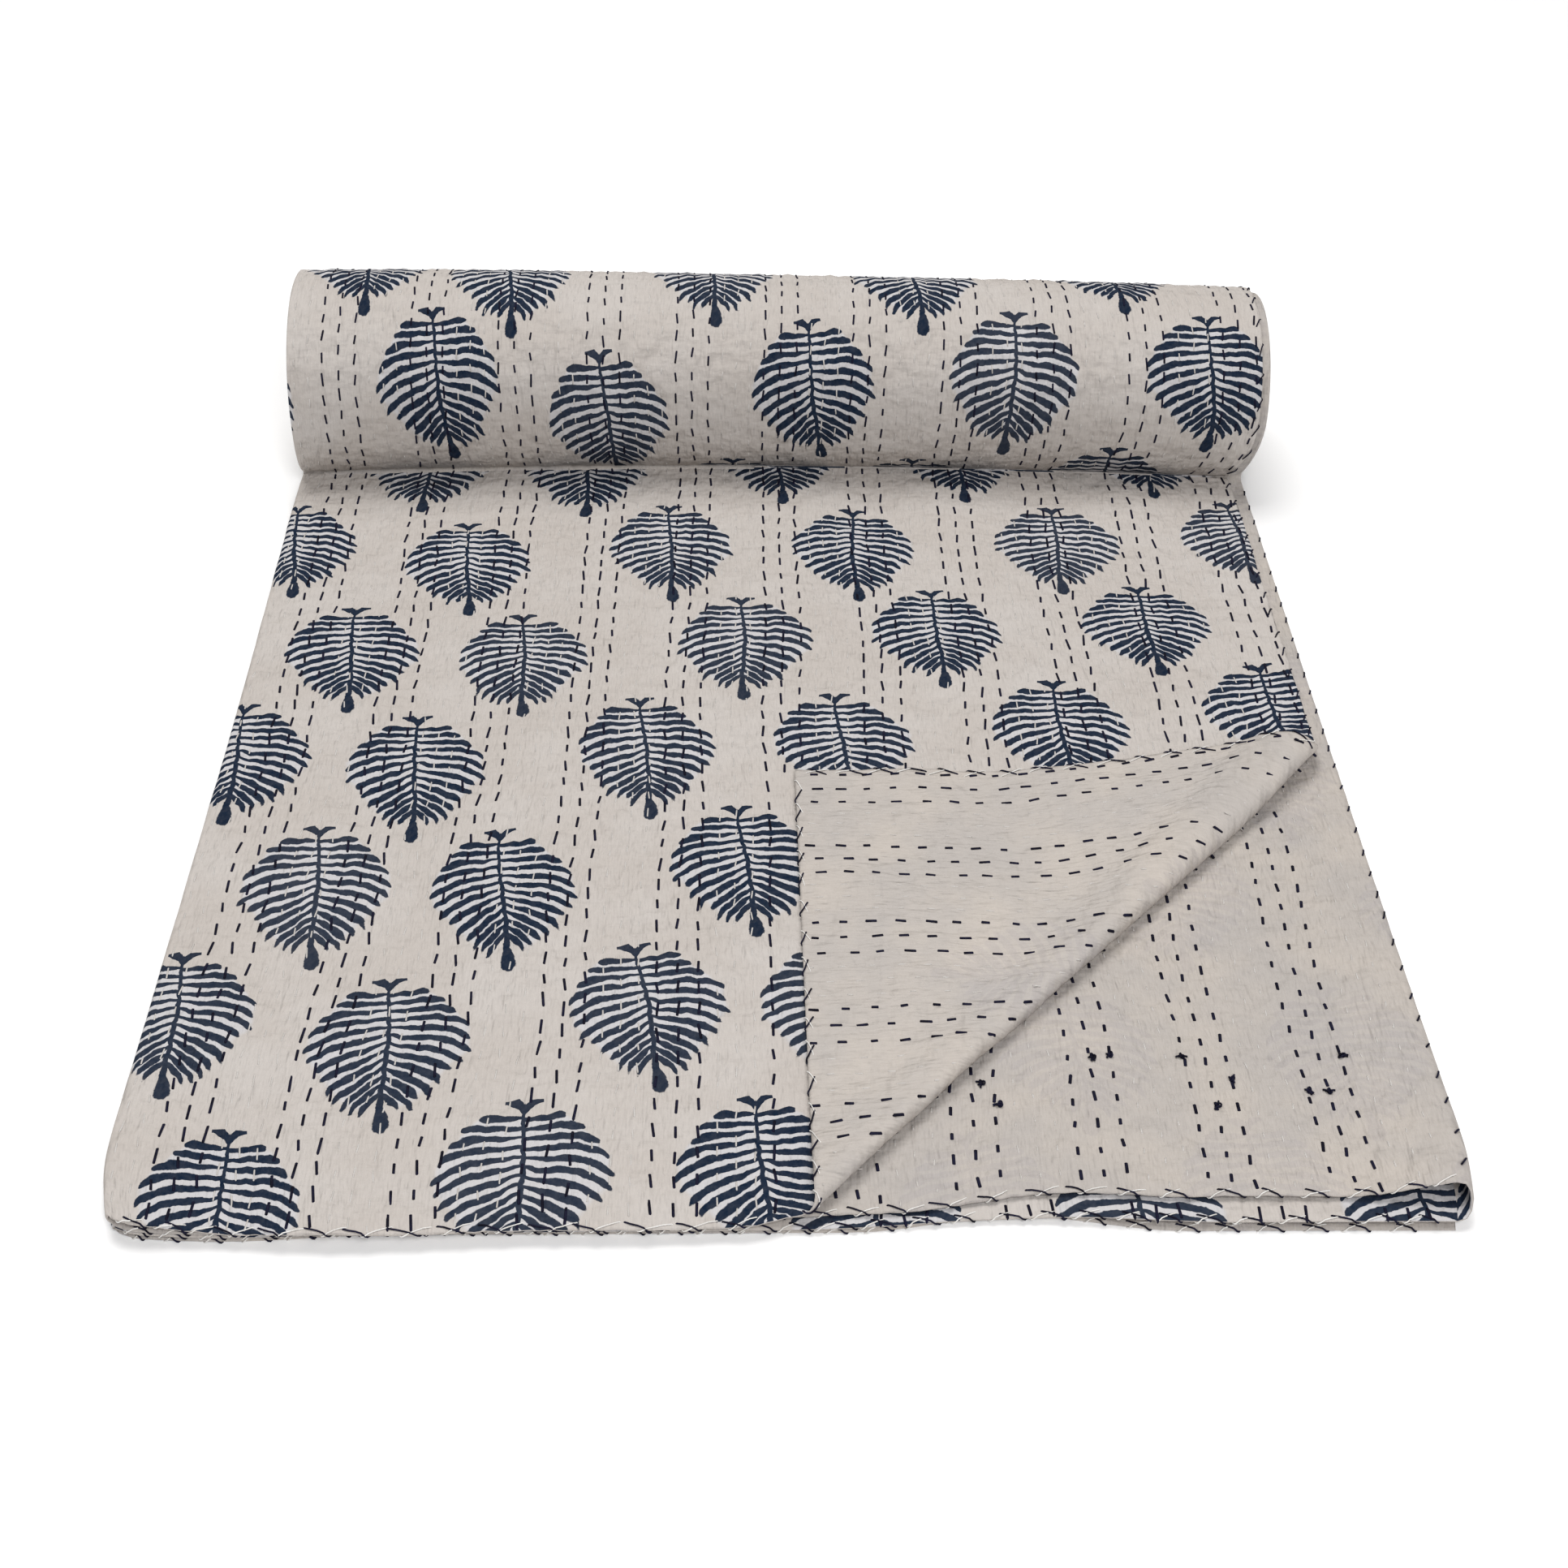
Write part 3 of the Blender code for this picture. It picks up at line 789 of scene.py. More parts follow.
width = RIGHT_FOLD - LEFT_FOLD
point_across = np.where(point_layer % 2 == 1, RIGHT_FOLD - point_x, point_x - LEFT_FOLD)
point_across = np.where(np.isnan(round_fold), point_across, width + round_fold) + (point_layer - 1) * width
print("quilt box", placed.min(0).round(4), placed.max(0).round(4))

# %% [markdown]
# ## Where the printer set the block
#
# The leaves are block printed: one carved block, inked and pressed again and again by hand. The rows are
# about 11 cm apart and every second row is shifted by half, but each print lands a little off and a little
# tilted. The leaves that show are placed one by one, by where the tip of the crown and the end of the bud
# fall. The ones on the back of the roll and on the hidden layers follow the rule, with seeded errors.

# %% Leaves that show, in centimetres: crown x, crown v, bud x, bud v
FLAT_LEAVES = [
    (-28.7, 6.5, -28.2, -5.2), (-33.7, 19.3, -32.8, 8.2), (-22.2, 17.5, -20.8, 6.2),
    (-27.7, 30.2, -26.3, 18.2), (-16.8, 30.0, -15.4, 18.0), (-13.8, 8.6, -13.3, -3.1),
    (-8.1, 20.3, -6.5, 9.0), (-2.5, 32.3, -1.2, 20.7), (-1.5, 9.0, -0.5, -2.6),
    (-34.0, 42.0, -33.4, 30.2), (-22.8, 41.0, -21.9, 29.0), (-8.6, 42.9, -7.7, 31.0),
    (-28.4, 52.8, -27.5, 41.2), (-17.0, 52.0, -16.1, 40.8), (-2.3, 54.0, -1.8, 42.5),
    (3.8, 43.3, 4.6, 31.8), (11.0, 54.8, 11.1, 43.8), (18.0, 44.8, 18.4, 33.3), (25.0, 55.3, 25.3, 45.0),
    (31.7, 46.5, 32.3, 35.0), (-21.5, 63.0, -20.7, 51.6), (-34.0, 65.0, -32.8, 53.5),
    (-7.5, 65.2, -6.8, 53.4), (5.8, 64.8, 5.7, 53.5), (20.0, 65.1, 20.0, 54.2), (32.8, 65.7, 33.3, 55.0),
    (-25.4, 75.9, -25.0, 64.2), (-13.5, 75.5, -13.2, 63.8), (0.4, 77.0, 0.9, 65.3),
    (13.8, 77.2, 14.0, 65.5), (27.4, 77.6, 27.8, 66.0), (3.0, 20.6, 3.4, 9.0), (9.4, 31.8, 9.8, 20.2),
    (22.5, 33.0, 22.9, 21.5), (15.8, 20.8, 16.2, 9.2),
]
# The same for the roll, with the distance up from the crease in place of v
ROLL_LEAVES = [
    (-24.2, 13.9, -22.9, 2.2), (-12.2, 10.8, -11.2, -0.5), (2.3, 13.2, 3.8, 2.0), (17.2, 14.2, 17.1, 2.8),
    (31.0, 14.3, 31.5, 3.8), (-2.7, 1.8, -2.2, -9.8), (10.5, 2.0, 10.9, -9.6), (24.4, 4.0, 24.9, -7.6),
    (-29.6, 24.8, -28.8, 13.2), (-19.2, 23.1, -18.4, 11.5), (-4.6, 24.0, -3.9, 12.4),
    (10.2, 23.6, 10.8, 12.0), (24.4, 25.8, 25.0, 14.2),
]


FRONT_MARGIN, CREASE_MARGIN = 0.012, 0.004   # a leaf's middle is taken to lie at least so far in from both


def on_the_cloth(leaf, base=0.0):
    """A leaf of layer 1 in flat coordinates, from where it is seen. All in centimetres."""
    middle_x, middle_v = (leaf[0] + leaf[2]) / 200, (leaf[1] + leaf[3]) / 200 + base
    if base == 0.0:
        middle_v = min(max(middle_v, FRONT_MARGIN), V_FLAT - CREASE_MARGIN)
    seen = place(1, middle_x, middle_v)
    across = 100 * (float(seen[0]) - middle_x)
    along = 100 * (float(seen[1]) - middle_v) if base == 0.0 else -100 * base
    return leaf[0] - across, leaf[1] - along, leaf[2] - across, leaf[3] - along


# %% Leaves by rule, in centimetres
LEAF_LENGTH = 11.7
LEAF_ROWS, LEAF_COLUMNS = 11.3, 13.8         # from one leaf to the next, down and across
LEAVES_IN_ROW, FIRST_LEAF_X = 6, -36.0
OFF_ACROSS, OFF_DOWN, TILT = 0.8, 1.2, 1.3   # a print's largest errors
FLAT_ENDS, ROLLED_STARTS, ROLLED_ENDS = 76.0, 80.0, 240.0    # v of the rows on the hidden layers
printing = random.Random(21)


def leaves_by_rule(first_v, last_v, shift):
    """Leaves in shifted rows, each a little off its place. In centimetres."""
    leaves = []
    for row in range(int((last_v - first_v) / LEAF_ROWS) + 1):
        start = FIRST_LEAF_X + shift + (LEAF_COLUMNS / 2 if row % 2 else 0.0)
        for column in range(LEAVES_IN_ROW):
            x = start + LEAF_COLUMNS * column + printing.uniform(-OFF_ACROSS, OFF_ACROSS)
            v = first_v + LEAF_ROWS * row + printing.uniform(-OFF_DOWN, OFF_DOWN)
            leaves.append((x, v, x + printing.uniform(0.0, TILT), v - LEAF_LENGTH))
    return leaves


# %% Every leaf, by layer and by whether that part is rolled up
ROLL_START = V_ROLL * 100    # in centimetres
LEAVES = {
    (1, False): [on_the_cloth(leaf) for leaf in FLAT_LEAVES],
    (1, True): [on_the_cloth(leaf, V_ROLL) for leaf in ROLL_LEAVES]
    + [(-38.7, ROLL_START + 12.4, -38.4, ROLL_START + 0.7)]     # most of it lies round the left fold
    + leaves_by_rule(ROLL_START + 36.0, ROLLED_ENDS, 0.0),
    (2, False): leaves_by_rule(4.7, FLAT_ENDS, 4.0),
    (2, True): leaves_by_rule(ROLLED_STARTS, ROLLED_ENDS, 3.4),
    (3, False): leaves_by_rule(5.6, FLAT_ENDS, -1.9),
    (3, True): leaves_by_rule(ROLLED_STARTS, ROLLED_ENDS, -0.9),
    (4, False): leaves_by_rule(7.0, FLAT_ENDS, 5.0),
    (4, True): leaves_by_rule(ROLLED_STARTS, ROLLED_ENDS, 5.0),
}
print(sum(len(leaves) for leaves in LEAVES.values()), "leaves")

# %% [markdown]
# ## The print's own coordinates
#
# A stamp doesn't stretch with the cloth, so each face takes the coordinates of the one leaf that is nearest
# to it, measured in centimetres from the tip of that leaf's crown. UV maps belong to face corners, so
# neighbours may belong to different leaves without any smearing between them. Each leaf also has one random
# number, for how well the block was inked.

# %% UV maps and the leaf number
LEAF_HALF_WIDTH, LEAF_HALF_LENGTH = 5.0, 6.4
face_sizes = np.array([len(f) for f in faces])
corner_points = np.concatenate(faces)
face_of_corner = np.repeat(np.arange(len(faces)), face_sizes)
corner_x, corner_v = point_x[corner_points] * 100, point_v[corner_points] * 100
centre_x = np.bincount(face_of_corner, corner_x) / face_sizes
centre_v = np.bincount(face_of_corner, corner_v) / face_sizes
face_layer = np.array([point_layer[f].min() for f in faces])
face_rolled = centre_v > (V_FLAT + CREASE_HIDES / 2) * 100

print_uv = np.zeros((len(corner_points), 2))
face_ink = np.zeros(len(faces))
for (layer, on_roll), leaves in LEAVES.items():
    table = np.array(leaves)
    chosen = np.nonzero((face_layer == layer) & (face_rolled == on_roll))[0]
    middle_x, middle_v = (table[:, 0] + table[:, 2]) / 2, (table[:, 1] + table[:, 3]) / 2
    far = np.hypot((centre_x[chosen, None] - middle_x) / LEAF_HALF_WIDTH,
                   (centre_v[chosen, None] - middle_v) / LEAF_HALF_LENGTH)
    leaf = far.argmin(1)
    leaf_of_face = np.full(len(faces), -1)
    leaf_of_face[chosen] = leaf
    mine = leaf_of_face[face_of_corner]
    corners = np.nonzero(mine >= 0)[0]
    crown_x, crown_v, bud_x, bud_v = table[mine[corners]].T
    size = np.hypot(bud_x - crown_x, bud_v - crown_v)
    down_x, down_v = (bud_x - crown_x) / size, (bud_v - crown_v) / size
    from_x, from_v = corner_x[corners] - crown_x, corner_v[corners] - crown_v
    print_uv[corners, 0] = from_v * down_x - from_x * down_v
    print_uv[corners, 1] = (from_x * down_x + from_v * down_v) * LEAF_LENGTH / size
    ink = np.array([printing.random() for _ in leaves])
    face_ink[chosen] = ink[leaf]

# %% The mesh
quilt = add_mesh("quilt_cloth", placed, faces)
mesh = quilt.data
cloth_map = mesh.uv_layers.new(name="cloth")
print_map = mesh.uv_layers.new(name="print")
cloth_uv = np.stack([point_across[corner_points], point_v[corner_points]], -1)
cloth_map.data.foreach_set("uv", cloth_uv.ravel())
print_map.data.foreach_set("uv", print_uv.ravel())
ink_number = mesh.attributes.new("leaf_number", "FLOAT", "FACE")
ink_number.data.foreach_set("value", face_ink)

# %% Thickness
HEM_THICKNESS, HEM_SWELLS = 0.45, 0.55    # shares of the cloth's: at the very edge, and gained behind it
hem_group = quilt.vertex_groups.new(name="thickness")
to_hem = np.minimum(point_v, FLAT_SIZE[1] - point_v)
to_side = np.where(point_layer == LAYERS, BOTTOM_EDGE - point_x, 1.0)
to_side = np.where(point_layer == 1, TOP_EDGE - point_x, to_side)
thickness = HEM_THICKNESS + HEM_SWELLS * np.sqrt(np.clip(np.minimum(to_hem, to_side) / HEM, 0.0, 1.0))
for index, share in enumerate(thickness):
    hem_group.add([index], float(share), "REPLACE")


def apply_modifiers(thing):
    """Turns an object's evaluated shape into its plain mesh."""
    graph = bpy.context.evaluated_depsgraph_get()
    made = bpy.data.meshes.new_from_object(thing.evaluated_get(graph), preserve_all_data_layers=True,
                                           depsgraph=graph)
    thing.modifiers.clear()
    old = thing.data
    thing.data = made
    bpy.data.meshes.remove(old)


thicken = quilt.modifiers.new("two cloths", "SOLIDIFY")
thicken.thickness = CLOTH
thicken.offset = 0.0
thicken.use_even_offset = False
thicken.vertex_group = "thickness"
thicken.material_offset = 1
thicken.material_offset_rim = 1
printed = bpy.data.materials.new("printed cotton")
plain = bpy.data.materials.new("plain cotton")
quilt.data.materials.append(printed)
quilt.data.materials.append(plain)
apply_modifiers(quilt)
quilt.vertex_groups.clear()
print("quilt has", sum(len(p.vertices) - 2 for p in quilt.data.polygons), "triangles")

# %% [markdown]
# ## Shader groups
#
# The same effects serve more than one material, so each is a node group. A few helpers keep the wiring
# short.


# %% Node helpers
def link(tree, source, target):
    tree.links.new(source, target)


def node(tree, kind, inputs=None, **settings):
    """Adds a node. `inputs` maps a socket's name or number to a value or to another socket."""
    made = tree.nodes.new(kind)
    for name, value in settings.items():
        setattr(made, name, value)
    for name, value in (inputs or {}).items():
        socket = made.inputs[name]
        if isinstance(value, bpy.types.NodeSocket):
            tree.links.new(value, socket)
        else:
            socket.default_value = value
    return made


def calc(tree, operation, *values):
    return node(tree, "ShaderNodeMath", dict(enumerate(values)), operation=operation).outputs[0]


def calc_vector(tree, operation, *values):
    return node(tree, "ShaderNodeVectorMath", dict(enumerate(values)), operation=operation).outputs[0]


def scale_vector(tree, vector, factor):
    return node(tree, "ShaderNodeVectorMath", {0: vector, 3: factor}, operation="SCALE").outputs[0]


def blend_colours(tree, share, low, high):
    return node(tree, "ShaderNodeMix", {0: share, 6: low, 7: high}, data_type="RGBA").outputs[2]


def ramp(tree, value, low, high, at_low, at_high):
    """at_low where the value is under low, at_high over high, and straight between them."""
    return node(tree, "ShaderNodeMapRange", {0: value, 1: low, 2: high, 3: at_low, 4: at_high}).outputs[0]


def soft_edge(tree, value, low, high):
    """1 where the value is under low, 0 over high."""
    made = node(tree, "ShaderNodeMapRange", {0: value, 1: low, 2: high, 3: 1.0, 4: 0.0},
                interpolation_type="SMOOTHSTEP")
    return made.outputs[0]


def noise(tree, vector, scale, detail=2.0, roughness=0.5):
    made = node(tree, "ShaderNodeTexNoise",
                {"Vector": vector, "Scale": scale, "Detail": detail, "Roughness": roughness})
    return made.outputs[0]


def new_group(name, ins, outs):
    """A shader group with named sockets, and the group's own input and output nodes."""
    tree = bpy.data.node_groups.new(name, "ShaderNodeTree")
    for socket_name, kind, value in ins:
        socket = tree.interface.new_socket(socket_name, in_out="INPUT", socket_type=kind)
        if value is not None:
            socket.default_value = value
    for socket_name, kind in outs:
        tree.interface.new_socket(socket_name, in_out="OUTPUT", socket_type=kind)
    return tree, tree.nodes.new("NodeGroupInput").outputs, tree.nodes.new("NodeGroupOutput").inputs


def use_group(tree, group, inputs):
    return node(tree, "ShaderNodeGroup", inputs, node_tree=group).outputs


# %% [markdown]
# ## The carved leaf
#
# The block is a leaf with a crown on top, thirteen leaflets a side that curve down to rounded tips, a
# midrib and a bud. A picture would blur and repeat, so the leaf is drawn with arithmetic. Along the midrib
# the leaflets are counted by a rising number, and their slope grows with that count, so one formula can be
# turned round: given a point, it says between which two leaflets the point lies.

# %% A number inside a shader tree, so that formulas read as formulas
class Value:
    def __init__(self, tree, socket):
        self.tree, self.socket = tree, socket

    def new(self, operation, *others):
        values = [other.socket if isinstance(other, Value) else other for other in others]
        return Value(self.tree, calc(self.tree, operation, self.socket, *values))

    def __add__(self, other):
        return self.new("ADD", other)

    def __sub__(self, other):
        return self.new("SUBTRACT", other)

    def __mul__(self, other):
        return self.new("MULTIPLY", other)

    def __truediv__(self, other):
        return self.new("DIVIDE", other)

    def __pow__(self, other):
        return self.new("POWER", other)

    def __neg__(self):
        return self * -1.0

    def least(self, other):
        return self.new("MINIMUM", other)

    def most(self, other):
        return self.new("MAXIMUM", other)

    def between(self, low, high):
        """0 under low, 1 over high, smooth between them."""
        made = node(self.tree, "ShaderNodeMapRange", {0: self.socket, 1: low, 2: high},
                    interpolation_type="SMOOTHSTEP")
        return Value(self.tree, made.outputs[0])


# %% The leaf's sizes, in centimetres
LEAFLET_GAP = 0.62           # from one leaflet to the next along the midrib
FIRST_LEAFLET = 1.3          # where the first one starts
LAST_LEAFLET = 12.0          # the last one's number, counted from 0
FLAT_LEAFLET = 3.2           # the leaflet that starts here leaves the midrib at a right angle
SPREADING = 0.137            # and the slope of the others grows by this much for each centimetre
LONGEST_LEAFLET = 4.35
DROOP_POWER = 2.6
CROWN_HALF_WIDTH = 0.93
MIDRIB_START, MIDRIB_END = 0.5, 10.6
BUD_START, BUD_ROUND, BLOCK_END = 9.6, 11.25, 11.85    # where the bud starts, rounds off and has ended
WOBBLE = 0.40                # of the carved edges
GRAIN = 0.42                 # raggedness of the ink's edge


def leaflet_length(start):
    """Length of the leaflet that leaves the midrib `start` cm down: longer to the fourth, then shorter."""
    return ((start - FIRST_LEAFLET) * 1.03 + 2.30).least(-start * 0.74 + 7.55).least(LONGEST_LEAFLET)


def leaflet_droop(start):
    """How far the tip of that leaflet curves down."""
    return ((start - FIRST_LEAFLET) * 0.34 + 0.50).most(0.30).least(1.10).least(-start * 0.27 + 2.85)


# %% A point's place on the leaf
def place_on_leaf(tree, place_socket, number):
    """(distance down from the crown, distance out from the midrib, 1 on its right side)."""
    wobble = node(tree, "ShaderNodeTexNoise", {"Vector": place_socket, "Scale": 1.1, "Detail": 2.0})
    shift = calc_vector(tree, "SUBTRACT", wobble.outputs["Color"], (0.5, 0.5, 0.5))
    moved = calc_vector(tree, "ADD", place_socket, scale_vector(tree, shift, WOBBLE))
    parts = node(tree, "ShaderNodeSeparateXYZ", {0: moved}).outputs
    down = Value(tree, parts[1])
    # The midrib bends a little, differently in each print
    bend = (down * 0.5 + number * 5.0 + 1.0).new("SINE") * 0.12
    bend = bend * (down / 2.0).between(0.0, 1.0) * ((-down + 11.0) / 2.0).between(0.0, 1.0)
    across = Value(tree, parts[0]) - bend
    return down, across.new("ABSOLUTE"), across.new("GREATER_THAN", 0.0)


# %% The leaflets
def leaflets(tree, number, down, out, right):
    """Less than 1 on a leaflet; the second value is where the nearest one starts on the midrib."""
    # A leaflet starts on the midrib, slopes with its place there and droops towards its tip, so the start of
    # the one nearest this point is found in three steps, each with a better droop
    flat_level = down - (out * 1.5).new("SINE") * 0.14 - right * 0.12
    level = flat_level
    widening = out * SPREADING + 1.0
    for _ in range(3):
        start = (level + out * (SPREADING * FLAT_LEAFLET)) / widening
        length = leaflet_length(start).most(0.9)
        droop = leaflet_droop(start)
        share = (out / length).least(1.12)
        level = flat_level - droop * share ** DROOP_POWER
    count = (start - FIRST_LEAFLET) / LEAFLET_GAP
    whole = count.new("ROUND").most(0.0).least(LAST_LEAFLET)
    slope = (start - FLAT_LEAFLET) * SPREADING + droop * share ** (DROOP_POWER - 1.0) * DROOP_POWER / length
    # Leaflets draw apart towards the outline, and where their lengths differ
    shortening = start.between(3.0, 4.8)
    growth = shortening * 1.77 - (-start).new("GREATER_THAN", -3.3) * 1.03
    drift = droop * DROOP_POWER * growth / length + (-shortening + 1.0) * 0.34
    apart = widening + share ** DROOP_POWER * drift
    off = (count - whole) * LEAFLET_GAP * apart.most(0.35) / (slope * slope + 1.0).new("SQRT")
    # Each leaflet's length, with its own small error
    own = node(tree, "ShaderNodeCombineXYZ", {0: whole.socket, 1: right.socket, 2: number.socket}).outputs[0]
    luck = node(tree, "ShaderNodeTexWhiteNoise", {"Vector": own}, noise_dimensions="3D").outputs[0]
    length = leaflet_length(whole * LEAFLET_GAP + FIRST_LEAFLET) + (Value(tree, luck) - 0.5) * 0.3
    share = out / length
    lower = whole.between(1.0, 5.0)
    half = share.between(0.0, 0.45) * (lower * 0.015 + whole.between(6.0, 10.0) * 0.025 + 0.100)
    half = half + share.between(0.4, 1.0) * 0.075 + 0.124
    half = half * (-(-lower + 1.0) * 0.45 * share.between(0.75, 1.0) + 1.0)
    end = (out - length + half).most(0.0) / half
    return ((off / half) * (off / half) + end * end).new("SQRT"), start


# %% Midrib, crown and bud, each less than 1 on its ink
def midrib(down, out):
    """A line that grows thicker downwards."""
    return out / (down * 0.009 + 0.088) + (-down + MIDRIB_START).most(down - MIDRIB_END).most(0.0) * 6.0


def crown(down, out):
    """Two wings with a notch between them."""
    reach = out / CROWN_HALF_WIDTH
    under = down - (-reach + 1.0).most(0.0) ** 1.8 * 0.80 - 0.33
    over = (-reach * 1.5 + 0.48).most(reach * 0.10 - 0.02) - down
    return over.most(under).most((out - CROWN_HALF_WIDTH) * 0.8) / 0.06 + 1.0


def bud(down, out):
    """A drop at the lower end."""
    half = down.between(9.7, 10.9) * 0.20 + 0.20
    tip = (down - BUD_ROUND).most(0.0) / 0.42
    return ((out / half) * (out / half) + tip * tip).new("SQRT") + (-down + BUD_START).most(0.0) * 8.0


# %% The whole leaf
def draw_leaf(tree, place_socket, number):
    """Less than 1 on the ink; the second value is the distance outside the leaf's outline in cm."""
    number = Value(tree, number)
    down, out, right = place_on_leaf(tree, place_socket, number)
    leaflet, start = leaflets(tree, number, down, out, right)
    nearest = leaflet.least(midrib(down, out)).least(crown(down, out)).least(bud(down, out))
    # The outline holds the washed ground between the leaflets
    outline = out - leaflet_length(start)
    outline = outline.most(-start + 1.2).most(start - 9.0)
    # Nothing is printed beyond the ends of the block
    beyond = (-down - 0.1).most(down - BLOCK_END).most(0.0) * 30.0
    return nearest + beyond, outline + beyond


leaf_tree, given, result = new_group(
    "carved leaf",
    [("Place", "NodeSocketVector", None), ("Number", "NodeSocketFloat", 0.5)],
    [("Ink", "NodeSocketFloat"), ("Leaf", "NodeSocketFloat")],
)
edge, outline = draw_leaf(leaf_tree, given["Place"], given["Number"])
grain = Value(leaf_tree, noise(leaf_tree, given["Place"], 7.0, 3.0, 0.6))
edge = edge + (grain - 0.5) * GRAIN
link(leaf_tree, (-edge).between(-1.10, -0.90).socket, result["Ink"])
link(leaf_tree, (-outline).between(0.0, 0.35).socket, result["Leaf"])

# %% [markdown]
# ## Crumpled cotton
#
# Washed kantha cotton has puckers a few millimetres long across the stitch lines and a fine uneven weave.
# The large puckers are in the mesh. This group adds what is too fine for it, as a height for a Bump node.
# It reads the cloth's own coordinates in metres, so a noise of scale 200 has grains 5 mm wide.

# %% Crumple group
crumple_tree, given, result = new_group(
    "crumpled cotton",
    [("Cloth", "NodeSocketVector", None)],
    [("Height", "NodeSocketFloat"), ("Slubs", "NodeSocketFloat")],
)


def stretched_noise(across, along, scale, roughness):
    """Noise on the cloth; a share under 1 draws its grains out across or along it."""
    mapping = node(crumple_tree, "ShaderNodeMapping",
                   {"Vector": given["Cloth"], "Scale": (across, along, 1.0)})
    return noise(crumple_tree, mapping.outputs[0], scale, 2.0, roughness)


along = stretched_noise(1.0, 0.22, 200.0, 0.55)
across = stretched_noise(0.40, 1.0, 170.0, 0.55)
fine = noise(crumple_tree, given["Cloth"], 1150.0, 2.0, 0.6)
soft = noise(crumple_tree, given["Cloth"], 62.0, 2.0, 0.5)
height = calc(crumple_tree, "MULTIPLY", soft, 0.9)
for part, weight in ((along, 0.62), (across, 0.22), (fine, 0.05)):
    height = calc(crumple_tree, "MULTIPLY_ADD", part, weight, height)
link(crumple_tree, height, result["Height"])
link(crumple_tree, stretched_noise(1.0, 0.12, 900.0, 0.6), result["Slubs"])


# %% The two sides of the cloth
SLUBS_DARK, SLUBS_PALE = 0.945, 1.035    # shade of the darkest and of the palest thread
PANEL_SHADE_RAMP = 0.66, 0.70                # past the first fold the plain side is painted darker, as shade on the lower layers; it ramps in over these values
WASHED_INK = (196, 196, 200)             # a faint wash between the leaflets
DRY_INK, FAINT_LEAF = 0.95, 0.97         # strength of the ink where it is driest, and of the faintest leaf
CRUMPLE = 0.0046                         # height of the crumpled cotton for the bump


def colour(red, green, blue):
    """A screen colour from 0 to 255 as the linear colour that a shader takes."""
    def linear(c):
        c = c / 255
        return c / 12.92 if c <= 0.04045 else ((c + 0.055) / 1.055) ** 2.4
    return (linear(red), linear(green), linear(blue), 1.0)


def cotton(material, ground, washed, ink, ink_share, wash_share, panel_shade):
    """One side of the cloth. Its last value is how much darker the layers past the first fold are painted,
    as painted shade on the lower layers.
    """
    material.use_nodes = True
    tree = material.node_tree
    shader = tree.nodes["Principled BSDF"]
    on_cloth = node(tree, "ShaderNodeUVMap", uv_map="cloth").outputs[0]
    on_leaf = node(tree, "ShaderNodeUVMap", uv_map="print").outputs[0]
    number = node(tree, "ShaderNodeAttribute", attribute_name="leaf_number").outputs["Fac"]
    leaf = use_group(tree, leaf_tree, {"Place": on_leaf, "Number": number})
    crumple = use_group(tree, crumple_tree, {"Cloth": on_cloth})

    # The ground: washed in patches, with slubs, and with painted shade on the layers past the first fold
    patches = noise(tree, on_cloth, 14.0, 3.0, 0.6)
    base = blend_colours(tree, soft_edge(tree, patches, 0.35, 0.7), ground, washed)
    slubs = ramp(tree, crumple["Slubs"], 0.3, 0.7, SLUBS_DARK, SLUBS_PALE)
    across = node(tree, "ShaderNodeSeparateXYZ", {0: on_cloth}).outputs[0]
    # Painted shade: across the cloth, past the first fold, the ground is darkened by the last value
    panel_shade_share = ramp(tree, across, *PANEL_SHADE_RAMP, 1.0, panel_shade)
    base = scale_vector(tree, base, calc(tree, "MULTIPLY", slubs, panel_shade_share))
    base = blend_colours(tree, calc(tree, "MULTIPLY", leaf["Leaf"], wash_share), base, colour(*WASHED_INK))

    # The ink: thinner where the block was dry, and on some of the leaves
    dryness = noise(tree, on_leaf, 2.4, 4.0, 0.65)
    dry = ramp(tree, dryness, 0.30, 0.75, 1.0, DRY_INK)
    faint = ramp(tree, number, 0.70, 1.0, 1.0, FAINT_LEAF)
    strength = calc(tree, "MULTIPLY", dry, faint)
    share = calc(tree, "MULTIPLY", calc(tree, "MULTIPLY", leaf["Ink"], strength), ink_share)
    link(tree, blend_colours(tree, share, base, ink), shader.inputs["Base Color"])

    shader.inputs["Roughness"].default_value = 0.93
    shader.inputs["Specular IOR Level"].default_value = 0.06
    bump = node(tree, "ShaderNodeBump", {"Strength": 1.0, "Distance": CRUMPLE, "Height": crumple["Height"]})
    link(tree, bump.outputs[0], shader.inputs["Normal"])


cotton(printed, ground=colour(192, 186, 181), washed=colour(187, 180, 174), ink=colour(12, 30, 51),
       ink_share=1.0, wash_share=0.70, panel_shade=1.0)
# On the plain side a ghost of the print shows through
# Its last value darkens the layers past the first fold, as painted shade
cotton(plain, ground=colour(190, 182, 174), washed=colour(180, 174, 169), ink=colour(122, 116, 132),
       ink_share=0.095, wash_share=0.03, panel_shade=0.95)

# %% [markdown]
# ## Running stitches
#
# A hand stitch is a short piece of thread that comes up, lies on the cloth and goes down again. Thousands
# of them follow the lines, so Geometry Nodes place them: the script gives each line as a chain of points on
# the cloth with the direction that is up there, and the tree sets one stitch every so often along it. The
# stitch itself is a small bead of 17 faces whose ends dip into the cloth.


